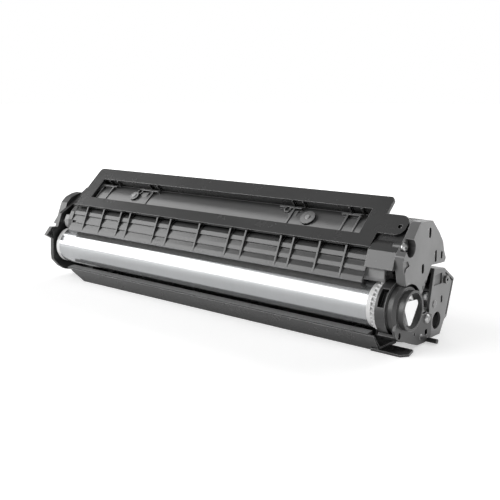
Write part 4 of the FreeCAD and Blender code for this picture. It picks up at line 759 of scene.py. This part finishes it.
class CARTRIDGE_OT_stage(bpy.types.Operator):
    """Sets up the camera, the pale floor, the sky and the soft lamps"""
    bl_idname = "cartridge.stage"
    bl_label = "Studio"

    def execute(self, context):
        studio = context.scene.cartridge_studio
        self.make_camera(context, studio)
        self.make_floor(studio)
        self.make_sky(context, studio)
        self.make_lamp(studio, "key")
        self.make_lamp(studio, "fill", mirrored=False)
        self.make_lamp(studio, "rim")
        context.scene.view_settings.view_transform = "Standard"
        return {"FINISHED"}

    def make_camera(self, context, studio):
        """The camera of the photograph's view."""
        data = bpy.data.cameras.new("camera")
        data.sensor_width = SENSOR_WIDTH
        data.lens = studio.lens
        data.clip_start = CLIP_NEAR
        data.clip_end = CLIP_FAR
        camera = linked("camera", data)
        camera.location = studio.camera_place
        across, up = studio.azimuth, studio.elevation
        turn_towards(camera, Vector((-math.sin(across) * math.cos(up),
                                     math.cos(across) * math.cos(up), -math.sin(up))))
        context.scene.camera = camera

    def make_floor(self, studio):
        """A round floor that shows white, apart from the shadow on it."""
        shape = bmesh.new()
        bmesh.ops.create_circle(shape, cap_ends=True, segments=FLOOR_SIDES,
                                radius=studio.floor_radius)
        floor = linked("floor", mesh_of(shape, "floor"))
        finish = Finish("floor white")
        away = finish.add("ShaderNodeVectorMath", {"operation": "LENGTH"}, finish.place(),
                          output="Value")
        near = away.between(studio.floor_near, studio.floor_far, studio.floor_glow, 1.0)
        paper = finish.noise(scale=14.0, detail=2.0)
        white = finish.add("ShaderNodeBsdfDiffuse", None,
                           finish.shades(paper, WHITE[:3], start=0.78, end=0.80))
        level = finish.ray("Is Camera Ray") * near
        level = level + finish.ray("Is Glossy Ray", "Is Transmission Ray") * (
            near * studio.floor_mirrored)
        glow = finish.add("ShaderNodeEmission", None, WHITE, level)
        both = finish.add("ShaderNodeAddShader", None, white, glow)
        finish.tree.links.new(both.socket, finish.output.inputs["Surface"])
        set_material(floor, finish.material)

    def make_sky(self, context, studio):
        """A sky that looks white and lights the object softly, more from above."""
        low_edge, high_edge, side_edge = -0.1, 0.9, 0.7
        mirror_low, mirror_high = 0.05, 0.35
        world = bpy.data.worlds.new("studio sky")
        world.use_nodes = True
        nodes = Nodes(world.node_tree)
        across, _, height = nodes.parts(
            nodes.add("ShaderNodeTexCoord", None, output="Generated"))
        soft = height.between(low_edge, high_edge, studio.sky_low, studio.sky_high)
        soft = soft * across.between(0.0, side_edge, 1.0, studio.sky_right)
        mirrored = height.between(mirror_low, mirror_high, 1.0, studio.sky_high)
        soft = soft + nodes.ray("Is Glossy Ray", "Is Transmission Ray") * (mirrored - soft)
        strength = soft + nodes.ray("Is Camera Ray") * (1.0 - soft)
        glow = nodes.add("ShaderNodeBackground", None, WHITE, strength)
        nodes.add("ShaderNodeOutputWorld", None, glow, output=None)
        context.scene.world = world

    def make_lamp(self, studio, name, mirrored=True):
        """A rectangular soft box that faces the cartridge, and shows in its gloss or not."""
        data = bpy.data.lights.new(name + "_lamp", "AREA")
        data.shape = "RECTANGLE"
        data.size, data.size_y = getattr(studio, name + "_size")
        data.energy = getattr(studio, name)
        lamp = linked(name + "_lamp", data)
        lamp.location = getattr(studio, name + "_place")
        turn_towards(lamp, Vector(studio.aim) - lamp.location)
        lamp.visible_glossy = mirrored


class CARTRIDGE_PT_panel(bpy.types.Panel):
    """Lists the cartridge's operators and settings"""
    bl_label = "Toner cartridge"
    bl_idname = "CARTRIDGE_PT_panel"
    bl_space_type = "VIEW_3D"
    bl_region_type = "UI"
    bl_category = "Cartridge"

    def draw(self, context):
        scene = context.scene
        for group in (scene.cartridge_colours, scene.cartridge_sizes, scene.cartridge_studio):
            box = self.layout.box()
            for name in group.__annotations__:
                box.prop(group, name)
        for operator in OPERATORS:
            self.layout.operator(operator.bl_idname)


OPERATORS = (CARTRIDGE_OT_stage, CARTRIDGE_OT_finishes, CARTRIDGE_OT_screws,
             CARTRIDGE_OT_cap_boss, CARTRIDGE_OT_guard_felt, CARTRIDGE_OT_end_strip)
GROUPS = (CartridgeColours, CartridgeSizes, CartridgeStudio)
CLASSES = GROUPS + OPERATORS + (CARTRIDGE_PT_panel,)


def register():
    for cls in CLASSES:
        bpy.utils.register_class(cls)
    bpy.types.Scene.cartridge_colours = PointerProperty(type=CartridgeColours)
    bpy.types.Scene.cartridge_sizes = PointerProperty(type=CartridgeSizes)
    bpy.types.Scene.cartridge_studio = PointerProperty(type=CartridgeStudio)


def unregister():
    del bpy.types.Scene.cartridge_studio
    del bpy.types.Scene.cartridge_sizes
    del bpy.types.Scene.cartridge_colours
    for cls in reversed(CLASSES):
        bpy.utils.unregister_class(cls)


def main():
    register()
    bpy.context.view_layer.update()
    bpy.ops.cartridge.stage()
    bpy.ops.cartridge.finishes()
    bpy.ops.cartridge.screws()
    bpy.ops.cartridge.cap_boss()
    bpy.ops.cartridge.guard_felt()
    bpy.ops.cartridge.end_strip()


if __name__ == "__main__":
    main()
